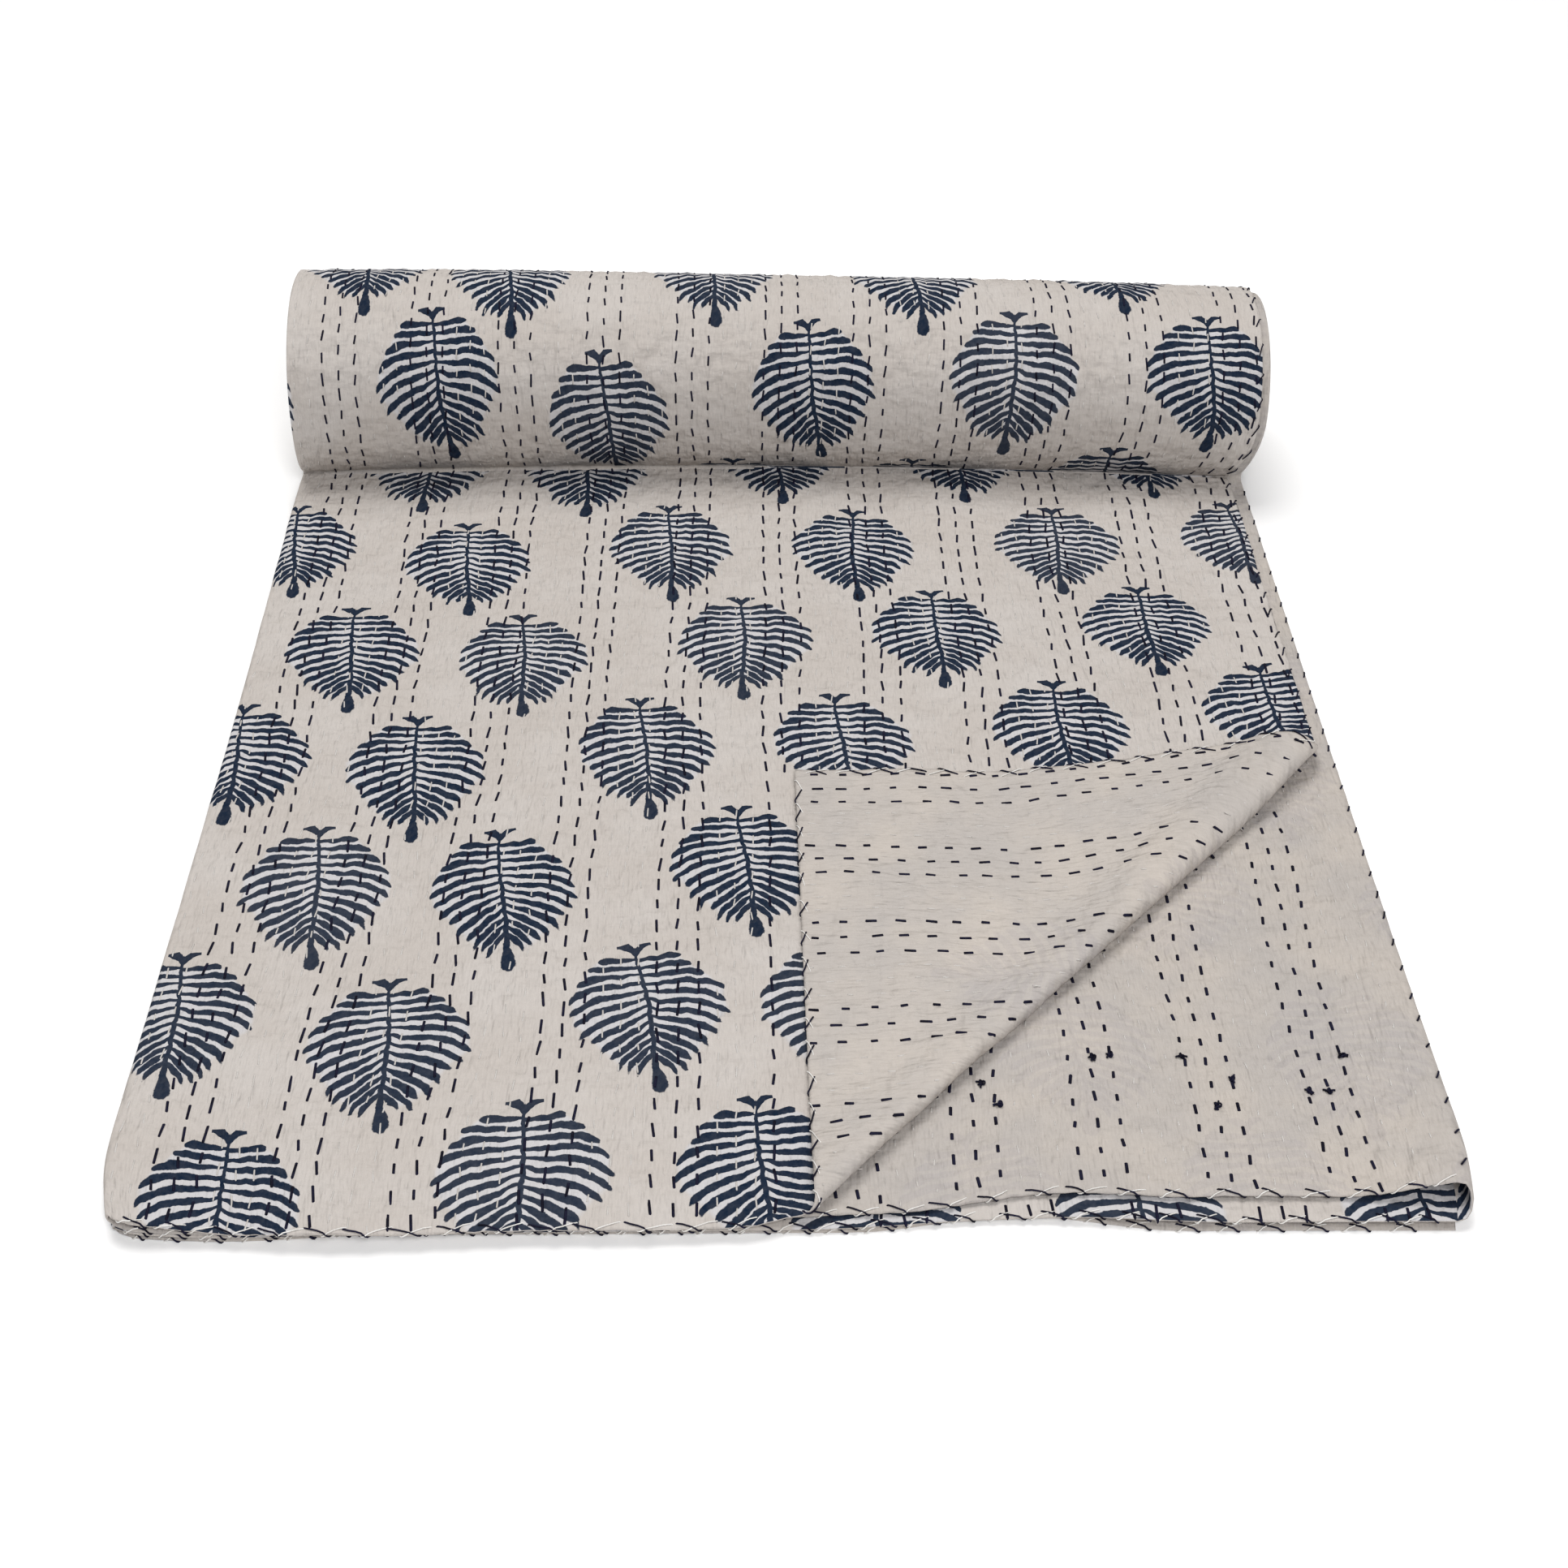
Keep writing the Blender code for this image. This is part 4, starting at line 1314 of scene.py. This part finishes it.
# %% One stitch
def stitch_bead():
    """A bead along Z, one unit long and wide, with X up and its ends sunk."""
    # Each ring's place along the bead, its size and how far it is sunk
    rings = [(-0.5, 0.35, -0.85), (-0.42, 0.95, 0.0), (0.42, 0.95, 0.0), (0.5, 0.35, -0.85)]
    sides = 5
    points, bead_faces = [], []
    for z, size, sunk in rings:
        for side in range(sides):
            angle = 2 * math.pi * side / sides
            points.append((size * math.cos(angle) + sunk, size * math.sin(angle), z))
    for ring in range(len(rings) - 1):
        for side in range(sides):
            a, b = ring * sides + side, ring * sides + (side + 1) % sides
            bead_faces.append((a, b, b + sides, a + sides))
    bead_faces.append(tuple(range(sides - 1, -1, -1)))
    bead_faces.append(tuple(len(points) - sides + side for side in range(sides)))
    return add_mesh("stitch_bead", points, bead_faces)


# %% Geometry Nodes helpers
def new_geometry_tree(name, ins):
    tree = bpy.data.node_groups.new(name, "GeometryNodeTree")
    tree.is_modifier = True
    tree.interface.new_socket("Geometry", in_out="INPUT", socket_type="NodeSocketGeometry")
    for socket_name, kind in ins:
        tree.interface.new_socket(socket_name, in_out="INPUT", socket_type=kind)
    tree.interface.new_socket("Geometry", in_out="OUTPUT", socket_type="NodeSocketGeometry")
    return tree, tree.nodes.new("NodeGroupInput").outputs, tree.nodes.new("NodeGroupOutput").inputs


def run_tree(name, lines, tree, values):
    """Runs a tree on chains of points and keeps the result as a plain mesh. lines: [(points, ups), ...]."""
    points = np.concatenate([line[0] for line in lines])
    ups = np.concatenate([line[1] for line in lines])
    edges, start = [], 0
    for line in lines:
        edges += [(start + i, start + i + 1) for i in range(len(line[0]) - 1)]
        start += len(line[0])
    mesh = bpy.data.meshes.new(name)
    mesh.from_pydata(points.tolist(), edges, [])
    up = mesh.attributes.new("up", "FLOAT_VECTOR", "POINT")
    up.data.foreach_set("vector", ups.ravel())
    thing = bpy.data.objects.new(name, mesh)
    bpy.context.scene.collection.objects.link(thing)
    modifier = thing.modifiers.new(name, "NODES")
    modifier.node_group = tree
    sockets = {item.name: item.identifier for item in tree.interface.items_tree if item.in_out == "INPUT"}
    for socket_name, value in values.items():
        modifier[sockets[socket_name]] = value
    apply_modifiers(thing)
    leftover = thing.data.attributes.get("up")
    if leftover:
        thing.data.attributes.remove(leftover)
    print(name, "has", sum(len(p.vertices) - 2 for p in thing.data.polygons), "triangles")
    return thing


# %% Running stitch tree
SLIP = 0.35                  # of the spacing, times the unevenness, a stitch slips along its line
LEAN = 0.55                  # times the unevenness, it leans to one side
THREAD_HEIGHT, THREAD_HALF = 0.38, 0.5    # of the thread's width: the bead is a little flat

stitch_tree, given, result = new_geometry_tree("running stitches", [
    ("Bead", "NodeSocketObject"), ("Spacing", "NodeSocketFloat"), ("Stitch length", "NodeSocketFloat"),
    ("Thread width", "NodeSocketFloat"), ("Unevenness", "NodeSocketFloat"), ("Seed", "NodeSocketInt"),
    ("Thread", "NodeSocketMaterial"),
])


def times(first, second):
    return calc(stitch_tree, "MULTIPLY", first, second)


def plus(first, second):
    return calc(stitch_tree, "ADD", first, second)


def random_share(low, high, seed):
    """A random number for each stitch."""
    return node(stitch_tree, "FunctionNodeRandomValue", {2: low, 3: high, "Seed": seed},
                data_type="FLOAT").outputs[1]


line = node(stitch_tree, "GeometryNodeMeshToCurve", {0: given["Geometry"]})
line = node(stitch_tree, "GeometryNodeResampleCurve", {"Curve": line.outputs[0], "Length": given["Spacing"]},
            mode="LENGTH")
tangent = node(stitch_tree, "GeometryNodeInputTangent").outputs[0]
up = node(stitch_tree, "GeometryNodeInputNamedAttribute", {"Name": "up"},
          data_type="FLOAT_VECTOR").outputs[0]
uneven, seed = given["Unevenness"], given["Seed"]
less = times(uneven, -1.0)

slip = times(random_share(less, uneven, seed), times(given["Spacing"], SLIP))
slip = scale_vector(stitch_tree, tangent, slip)
line = node(stitch_tree, "GeometryNodeSetPosition", {"Geometry": line.outputs[0], "Offset": slip})

lean = random_share(times(less, LEAN), times(uneven, LEAN), plus(seed, 2.0))
sideways = scale_vector(stitch_tree, calc_vector(stitch_tree, "CROSS_PRODUCT", tangent, up), lean)
direction = calc_vector(stitch_tree, "ADD", tangent, sideways)
facing = node(stitch_tree, "FunctionNodeAxesToRotation", {0: direction, 1: up}, primary_axis="Z",
              secondary_axis="X").outputs[0]

lengths = random_share(plus(1.0, less), plus(1.0, uneven), plus(seed, 1.0))
scale = node(stitch_tree, "ShaderNodeCombineXYZ", {
    0: times(given["Thread width"], THREAD_HEIGHT),
    1: times(given["Thread width"], THREAD_HALF),
    2: times(given["Stitch length"], lengths),
}).outputs[0]
bead = node(stitch_tree, "GeometryNodeObjectInfo", {0: given["Bead"]})
placed_beads = node(stitch_tree, "GeometryNodeInstanceOnPoints", {
    "Points": line.outputs[0], "Instance": bead.outputs["Geometry"], "Rotation": facing, "Scale": scale})
real = node(stitch_tree, "GeometryNodeRealizeInstances", {0: placed_beads.outputs[0]})
made = node(stitch_tree, "GeometryNodeSetMaterial", {0: real.outputs[0], "Material": given["Thread"]})
link(stitch_tree, made.outputs[0], result["Geometry"])

# %% [markdown]
# ## Thread
#
# The quilt is sewn with two threads, a navy one in bands of three lines and a cream one in the lines
# between. Stitching thread is a few strands twisted together, so its material has a fine slanting bump.


# %% Thread materials
def thread_material(name, dark, pale, roughness):
    material = bpy.data.materials.new(name)
    material.use_nodes = True
    tree = material.node_tree
    shader = tree.nodes["Principled BSDF"]
    on_object = node(tree, "ShaderNodeTexCoord").outputs["Object"]
    worn = soft_edge(tree, noise(tree, on_object, 160.0, 2.0, 0.6), 0.38, 0.66)
    link(tree, blend_colours(tree, worn, dark, pale), shader.inputs["Base Color"])
    shader.inputs["Roughness"].default_value = roughness
    shader.inputs["Specular IOR Level"].default_value = 0.12
    slanting = node(tree, "ShaderNodeMapping", {"Vector": on_object, "Rotation": (0.5, 0.4, 0.8)}).outputs[0]
    strands = node(tree, "ShaderNodeTexWave",
                   {"Vector": slanting, "Scale": 420.0, "Distortion": 2.0}).outputs["Fac"]
    bump = node(tree, "ShaderNodeBump", {"Strength": 0.35, "Distance": 0.0003, "Height": strands})
    link(tree, bump.outputs[0], shader.inputs["Normal"])
    return material


navy_thread = thread_material("navy thread", colour(12, 11, 26), colour(24, 24, 46), 0.75)
cream_thread = thread_material("cream thread", colour(190, 185, 180), colour(200, 196, 192), 0.8)
# The whip stitches use the same cream thread, in a copy painted lighter as painted light on the raised hems
lit_cream_thread = thread_material("lit cream thread", colour(216, 213, 208), colour(228, 226, 223), 0.8)

# %% [markdown]
# ## Where the lines of stitches run
#
# Each line is walked in small steps and cut where it would not show: in the pinch of the crease, under the
# turned corner, and on the floor side of the roll. On the turned corner and on layer 2 the plain side is
# up, so there the stitches are shorter, as the back of a running stitch is.

# %% Lines on the cloth
STEP = 0.004                 # from one point of a line to the next
THREAD_LIES = CLOTH / 2 + 0.00005
FIRST_STITCH = 0.0045        # v where the lines begin
SHORTEST_RUN = 5             # in points; a shorter stretch gets no stitches
CUT_OFF = 4                  # fewer than this many points are dropped, so that first stitches don't line up
ROLL_SHOWS = V_ROLL + float(np.interp(LAST_SEEN_TURN, turn_steps, turn_length))
line_random = random.Random(5)


def thread_line(layer, x, v, side):
    """Points and up directions on a layer's top side (side 1) or under side (side -1)."""
    points = place(layer, x, v, side * THREAD_LIES)
    ups = place(layer, x, v, side * (THREAD_LIES + 0.001)) - points
    ups /= np.linalg.norm(ups, axis=-1, keepdims=True)
    return points - ORIGIN, ups


def runs(keep):
    """Start and end of each stretch of True, as slices."""
    edges = np.flatnonzero(np.diff(np.concatenate([[0], keep.astype(int), [0]])))
    return [slice(a, b) for a, b in zip(edges[::2], edges[1::2]) if b - a >= SHORTEST_RUN]


def add_lines(lines, layer, x, v, keep, side):
    """Adds a line's stretches to `lines`, those on the roll to the second of the two lists."""
    for part in runs(keep):
        start = part.start + line_random.randrange(0, CUT_OFF)
        left = part.stop - start
        if left >= 3:
            on_roll = int(v[start] > V_FLAT)
            lines[on_roll].append(thread_line(layer, np.full(left, x), v[start:part.stop], side))


# %% Which lines run where
LINES_IN_PERIOD = 6          # three in navy, then three in cream
NAVY_APART, CREAM_APART = 1.10, 0.94    # the navy lines stand further apart than the cream ones
FOLD_MARGIN, EDGE_MARGIN = 0.003, 0.0015    # from the corner's fold to the stitches before it and past it
UNDER_FOLD = 0.006           # on layer 2 the stitches go this far under the corner's fold


def lines_across(layer, low, high):
    """(x, is navy) of each line of stitches between two sides of a layer."""
    found = []
    first = math.ceil((low - BAND_MIDDLE[layer]) / LINE) - 1
    for number in range(first, int((high - BAND_MIDDLE[layer]) / LINE) + 2):
        # -1, 0 and 1 are the navy lines of a band; 2, 3 and 4 the cream ones after it
        in_band = (number + 1) % LINES_IN_PERIOD - 1
        band = BAND_MIDDLE[layer] + (number - in_band) * LINE
        navy = in_band <= 1
        x = band + (in_band * NAVY_APART if navy else 3.0 + (in_band - 3) * CREAM_APART) * LINE
        if low < x < high:
            found.append((x, navy))
    return found


# For navy and for cream thread: the lines on the flat part, then those on the roll
face_lines = {True: ([], []), False: ([], [])}
back_lines = {True: ([], []), False: ([], [])}
for x, navy in lines_across(1, LEFT_FOLD + 0.005, TOP_EDGE - 0.004):
    v = np.arange(FIRST_STITCH, ROLL_SHOWS, STEP)
    xs = np.full(len(v), x)
    past = np.where(v < CORNER_ZONE, past_fold(xs, v)[0], -1.0)
    pinched = (v > V_FLAT - 0.002) & (v < V_ROLL + 0.003)
    open_cloth = (past < -FOLD_MARGIN) & (covered(xs, v) < 0.5) & ~pinched
    add_lines(face_lines[navy], 1, x, v, open_cloth, 1)
    add_lines(back_lines[navy], 1, x, v, past > EDGE_MARGIN, -1)
for x, navy in lines_across(2, 0.012, RIGHT_FOLD - 0.014):
    v = np.arange(FIRST_STITCH, V_FLAT, STEP)
    xs = np.full(len(v), x)
    uncovered = past_fold(xs, v)[0] > -UNDER_FOLD
    add_lines(back_lines[navy], 2, x, v, uncovered, 1)

# The first stitches of layer 3 show where the hem of layer 2 lies further back
for x, navy in lines_across(3, 0.040, 0.332):
    if navy:
        v = np.arange(0.0050, 0.0300, 0.0025)
        face_lines[True][0].append(thread_line(3, np.full(len(v), x), v, 1))

# %% Sew the lines
UNEVENNESS = 0.28            # share by which stitches differ in length and place
bead_object = stitch_bead()
bead_object.hide_render = True
stitch_pieces = []
# Each piece with its lines, the spacing, the length and the width of its stitches, its thread and its seed
for name, lines, spacing, length, thread_width, thread, seed in (
    ("navy_face_stitches", face_lines[True][0], 0.0168, 0.0100, 0.0017, navy_thread, 11),
    ("navy_roll_stitches", face_lines[True][1], 0.0148, 0.0078, 0.0015, navy_thread, 15),
    ("cream_face_stitches", face_lines[False][0], 0.0160, 0.0070, 0.0010, cream_thread, 12),
    ("cream_roll_stitches", face_lines[False][1], 0.0148, 0.0062, 0.0010, cream_thread, 16),
    ("navy_back_stitches", back_lines[True][0], 0.0160, 0.0060, 0.0020, navy_thread, 13),
    ("cream_back_stitches", back_lines[False][0], 0.0160, 0.0042, 0.0010, cream_thread, 14),
):
    stitch_pieces.append(run_tree(name, lines, stitch_tree, {
        "Bead": bead_object, "Spacing": spacing, "Stitch length": length, "Thread width": thread_width,
        "Unevenness": UNEVENNESS, "Seed": seed, "Thread": thread}))
bpy.data.objects.remove(bead_object)

# %% [markdown]
# ## Whipped hems
#
# The raw edges of the quilt are turned in and whipped with both threads, one leaning each way. Each stitch
# runs slantwise over the top of the hem, goes round the edge and comes back underneath. The script draws
# the path of each one, and a small tree turns the paths into thread.

# %% Thread tube tree
tube_tree, given, result = new_geometry_tree("thread tube", [
    ("Thread width", "NodeSocketFloat"), ("Sides", "NodeSocketInt"), ("Thread", "NodeSocketMaterial"),
])
line = node(tube_tree, "GeometryNodeMeshToCurve", {0: given["Geometry"]})
ring = node(tube_tree, "GeometryNodeCurvePrimitiveCircle", {
    "Resolution": given["Sides"], "Radius": calc(tube_tree, "MULTIPLY", given["Thread width"], 0.5)})
tube = node(tube_tree, "GeometryNodeCurveToMesh", {
    "Curve": line.outputs[0], "Profile Curve": ring.outputs[0], "Fill Caps": True})
tube = node(tube_tree, "GeometryNodeSetShadeSmooth", {0: tube.outputs[0], "Shade Smooth": True})
real = node(tube_tree, "GeometryNodeRealizeInstances", {0: tube.outputs[0]})
made = node(tube_tree, "GeometryNodeSetMaterial", {0: real.outputs[0], "Material": given["Thread"]})
link(tube_tree, made.outputs[0], result["Geometry"])

# %% Paths of the whip stitches
hem_random = random.Random(9)
TUBE_SIDES = 5


def thread_path(points):
    """A path for the thread tube tree, which needs no up directions."""
    points = points - ORIGIN
    return points, np.zeros_like(points)


def whip(hem, start, end, pitch, run, lean, reach):
    """Paths of whip stitches along a hem. hem(s, inward, raised) gives points on the cloth beside it."""
    paths = []
    at = start + pitch * hem_random.uniform(0.1, 0.4)
    half = CLOTH / 2
    while at < end - run:
        size = run * hem_random.uniform(0.80, 1.15)
        deep = reach * hem_random.uniform(0.70, 1.25)
        # Share of the stitch's length, distance in from the hem, height over the middle of the cloth
        steps = np.array([
            (0.00, deep, half - 0.0004), (0.04, deep * 0.95, half + 0.0003),
            (0.30, deep * 0.70, half + 0.0005), (0.60, deep * 0.40, half + 0.0005),
            (0.84, deep * 0.12, half + 0.0004), (0.95, -0.0004, half * 0.8), (1.03, -0.0007, 0.0),
            (1.11, -0.0004, -half * 0.9), (1.20, deep * 0.3, -half - 0.0003),
            (1.35, deep * 0.8, -half + 0.0002),
        ])
        share, inward, raised = steps.T
        along = at + (share if lean > 0 else 1.0 - share) * size
        paths.append(thread_path(hem(along, inward, raised)))
        at += pitch * hem_random.uniform(0.86, 1.14)
    return paths


# %% The hems
def front_hem(layer, side=1):
    """A layer's hem at the front. On the turned corner the under side is up, which is side -1."""
    return lambda along, inward, raised: place(layer, along, inward, side * raised)


def free_edge(side=1):
    """Layer 1's hem on the right, from the front to the roll."""
    return lambda along, inward, raised: place(1, TOP_EDGE - inward, along, side * raised)


FROM_FOLD, FROM_CORNER = 0.006, 0.004    # the whip stitches begin and end this far from a fold or a corner
NAVY_REACH, CREAM_REACH, EDGE_REACH = 0.0036, 0.0040, 0.0030    # how far in from the hem they start
# Each hem with its start and end, the pitch of its stitches, their length, and the way the navy ones lean
HEMS = [
    (front_hem(1), LEFT_FOLD + FROM_FOLD, CORNER_START[0] - FROM_CORNER, 0.0225, 0.0130, 1),
    (front_hem(1, -1), CORNER_START[0] + FROM_CORNER, TOP_EDGE - 0.002, 0.0200, 0.0085, -1),
    (free_edge(-1), 0.002, CORNER_END[1] - FROM_CORNER, 0.0215, 0.0120, -1),
    (front_hem(2), LEFT_FOLD + FROM_FOLD, RIGHT_FOLD - FROM_FOLD, 0.0225, 0.0108, 1),
    (front_hem(3), LOWER_LEFT_FOLD + FROM_FOLD, RIGHT_FOLD - FROM_FOLD, 0.0210, 0.0108, 1),
    (front_hem(4), LOWER_LEFT_FOLD + FROM_FOLD, BOTTOM_EDGE - FROM_FOLD, 0.0215, 0.0108, 1),
]
# The free edge past the corner has navy stitches only: a start, an end and a pitch for each stretch
EDGE_STRETCHES = [(CORNER_END[1] + 0.012, V_FLAT - FROM_CORNER, 0.0240),
                  (V_ROLL + FROM_CORNER, ROLL_SHOWS, 0.0220)]
navy_whips, cream_whips = [], []
for hem, start, end, pitch, run, lean in HEMS:
    navy_whips += whip(hem, start, end, pitch, run, lean, NAVY_REACH)
    cream_whips += whip(hem, start, end, pitch, run * 1.05, -lean, CREAM_REACH)
for start, end, pitch in EDGE_STRETCHES:
    navy_whips += whip(free_edge(), start, end, pitch, 0.0080, 1, EDGE_REACH)
print(len(navy_whips), "navy and", len(cream_whips), "cream whip stitches")

# The cream whip stitches take the lighter painted copy of the cream thread, as painted light on the hems
for name, paths, thread, thread_width in (("navy_whip_stitches", navy_whips, navy_thread, 0.00100),
                                          ("cream_whip_stitches", cream_whips, lit_cream_thread, 0.00070)):
    stitch_pieces.append(run_tree(name, paths, tube_tree, {
        "Thread width": thread_width, "Sides": TUBE_SIDES, "Thread": thread}))

# %% [markdown]
# ## Ticks along the fold, and knots
#
# Along the fold on the right, navy ticks lie across the edge. Near the front, the ends of some threads are
# knotted on the plain side. A knot is a trefoil of thread with two short tails.

# %% Ticks
TICK_STARTS, TICK_SPAN = 0.07, 0.14    # a tick's start and length, as shares of the way round the fold
# Points of a tick: the share of the way round the fold, and the height over the cloth
TICK = [(0.07, -0.0004), (0.09, 0.0004), (0.14, 0.0005), (0.19, 0.0004), (0.21, -0.0004)]
tick_paths = []
tick_at = 0.012
while tick_at < V_FLAT - 0.01:
    lean = hem_random.uniform(0.0045, 0.0075)
    points = []
    for share, high in TICK:
        spot = place_fold(2, share, np.array([tick_at + (share - TICK_STARTS) * lean / TICK_SPAN]))[0]
        away = np.array([math.sin(math.pi * share), 0.0, math.cos(math.pi * share)])
        points.append(spot + away * (CLOTH / 2 + high))
    tick_paths.append(thread_path(np.array(points)))
    tick_at += hem_random.uniform(0.018, 0.024)

# %% Knots, as (x, v) in centimetres
KNOTS = [(11.3, 8.4), (10.4, 9.9), (17.4, 12.0), (16.4, 11.8), (21.3, 11.8), (23.8, 10.2), (22.7, 8.3),
         (27.9, 9.4), (29.0, 9.3), (30.2, 11.8)]
KNOT_SHIFT = 0.0020          # every knot is set this much further to the right
KNOT_LIES, KNOT_RISES = 0.0010, 0.0007    # height of a knot's loops, and how much it varies
TAIL, TAIL_LIES, TAIL_RISES = 0.0034, 0.0005, 0.0006
FULL_TURN = 6.28


def trefoil(size, spin):
    """A flat trefoil's offsets across and along the cloth, and its height where it crosses itself."""
    t = np.linspace(0.0, 2 * math.pi * 0.98, 22)
    across = (np.sin(t) + 2 * np.sin(2 * t)) * size
    along = (np.cos(t) - 2 * np.cos(2 * t)) * size
    high = KNOT_LIES - np.sin(3 * t) * KNOT_RISES
    return (across * math.cos(spin) - along * math.sin(spin),
            across * math.sin(spin) + along * math.cos(spin), high)


knot_paths = []
for knot_x, knot_v in KNOTS:
    x, v = knot_x / 100, knot_v / 100
    v = v - float(setback(2, x, v))
    x = x - float(side_shift(x, v) - KNOT_SHIFT)
    spin, size = hem_random.uniform(0, FULL_TURN), hem_random.uniform(0.00050, 0.00068)
    across, along, high = trefoil(size, spin)
    knot_paths.append(thread_path(place(2, x + across, v + along, CLOTH / 2 + high)))
    for _ in range(2):
        way = hem_random.uniform(0, FULL_TURN)
        s = np.linspace(0.0, TAIL, 5)
        high = CLOTH / 2 + TAIL_LIES + TAIL_RISES * np.sin(s / TAIL * 3.0)
        knot_paths.append(thread_path(place(2, x + s * math.cos(way), v + s * math.sin(way), high)))

stitch_pieces.append(run_tree("fold_ticks_and_knots", tick_paths + knot_paths, tube_tree, {
    "Thread width": 0.00115, "Sides": TUBE_SIDES, "Thread": navy_thread}))

# %% Join the cloth to the frame
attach(quilt, "root")
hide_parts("quilt")
for piece in stitch_pieces:
    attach(piece, "root")
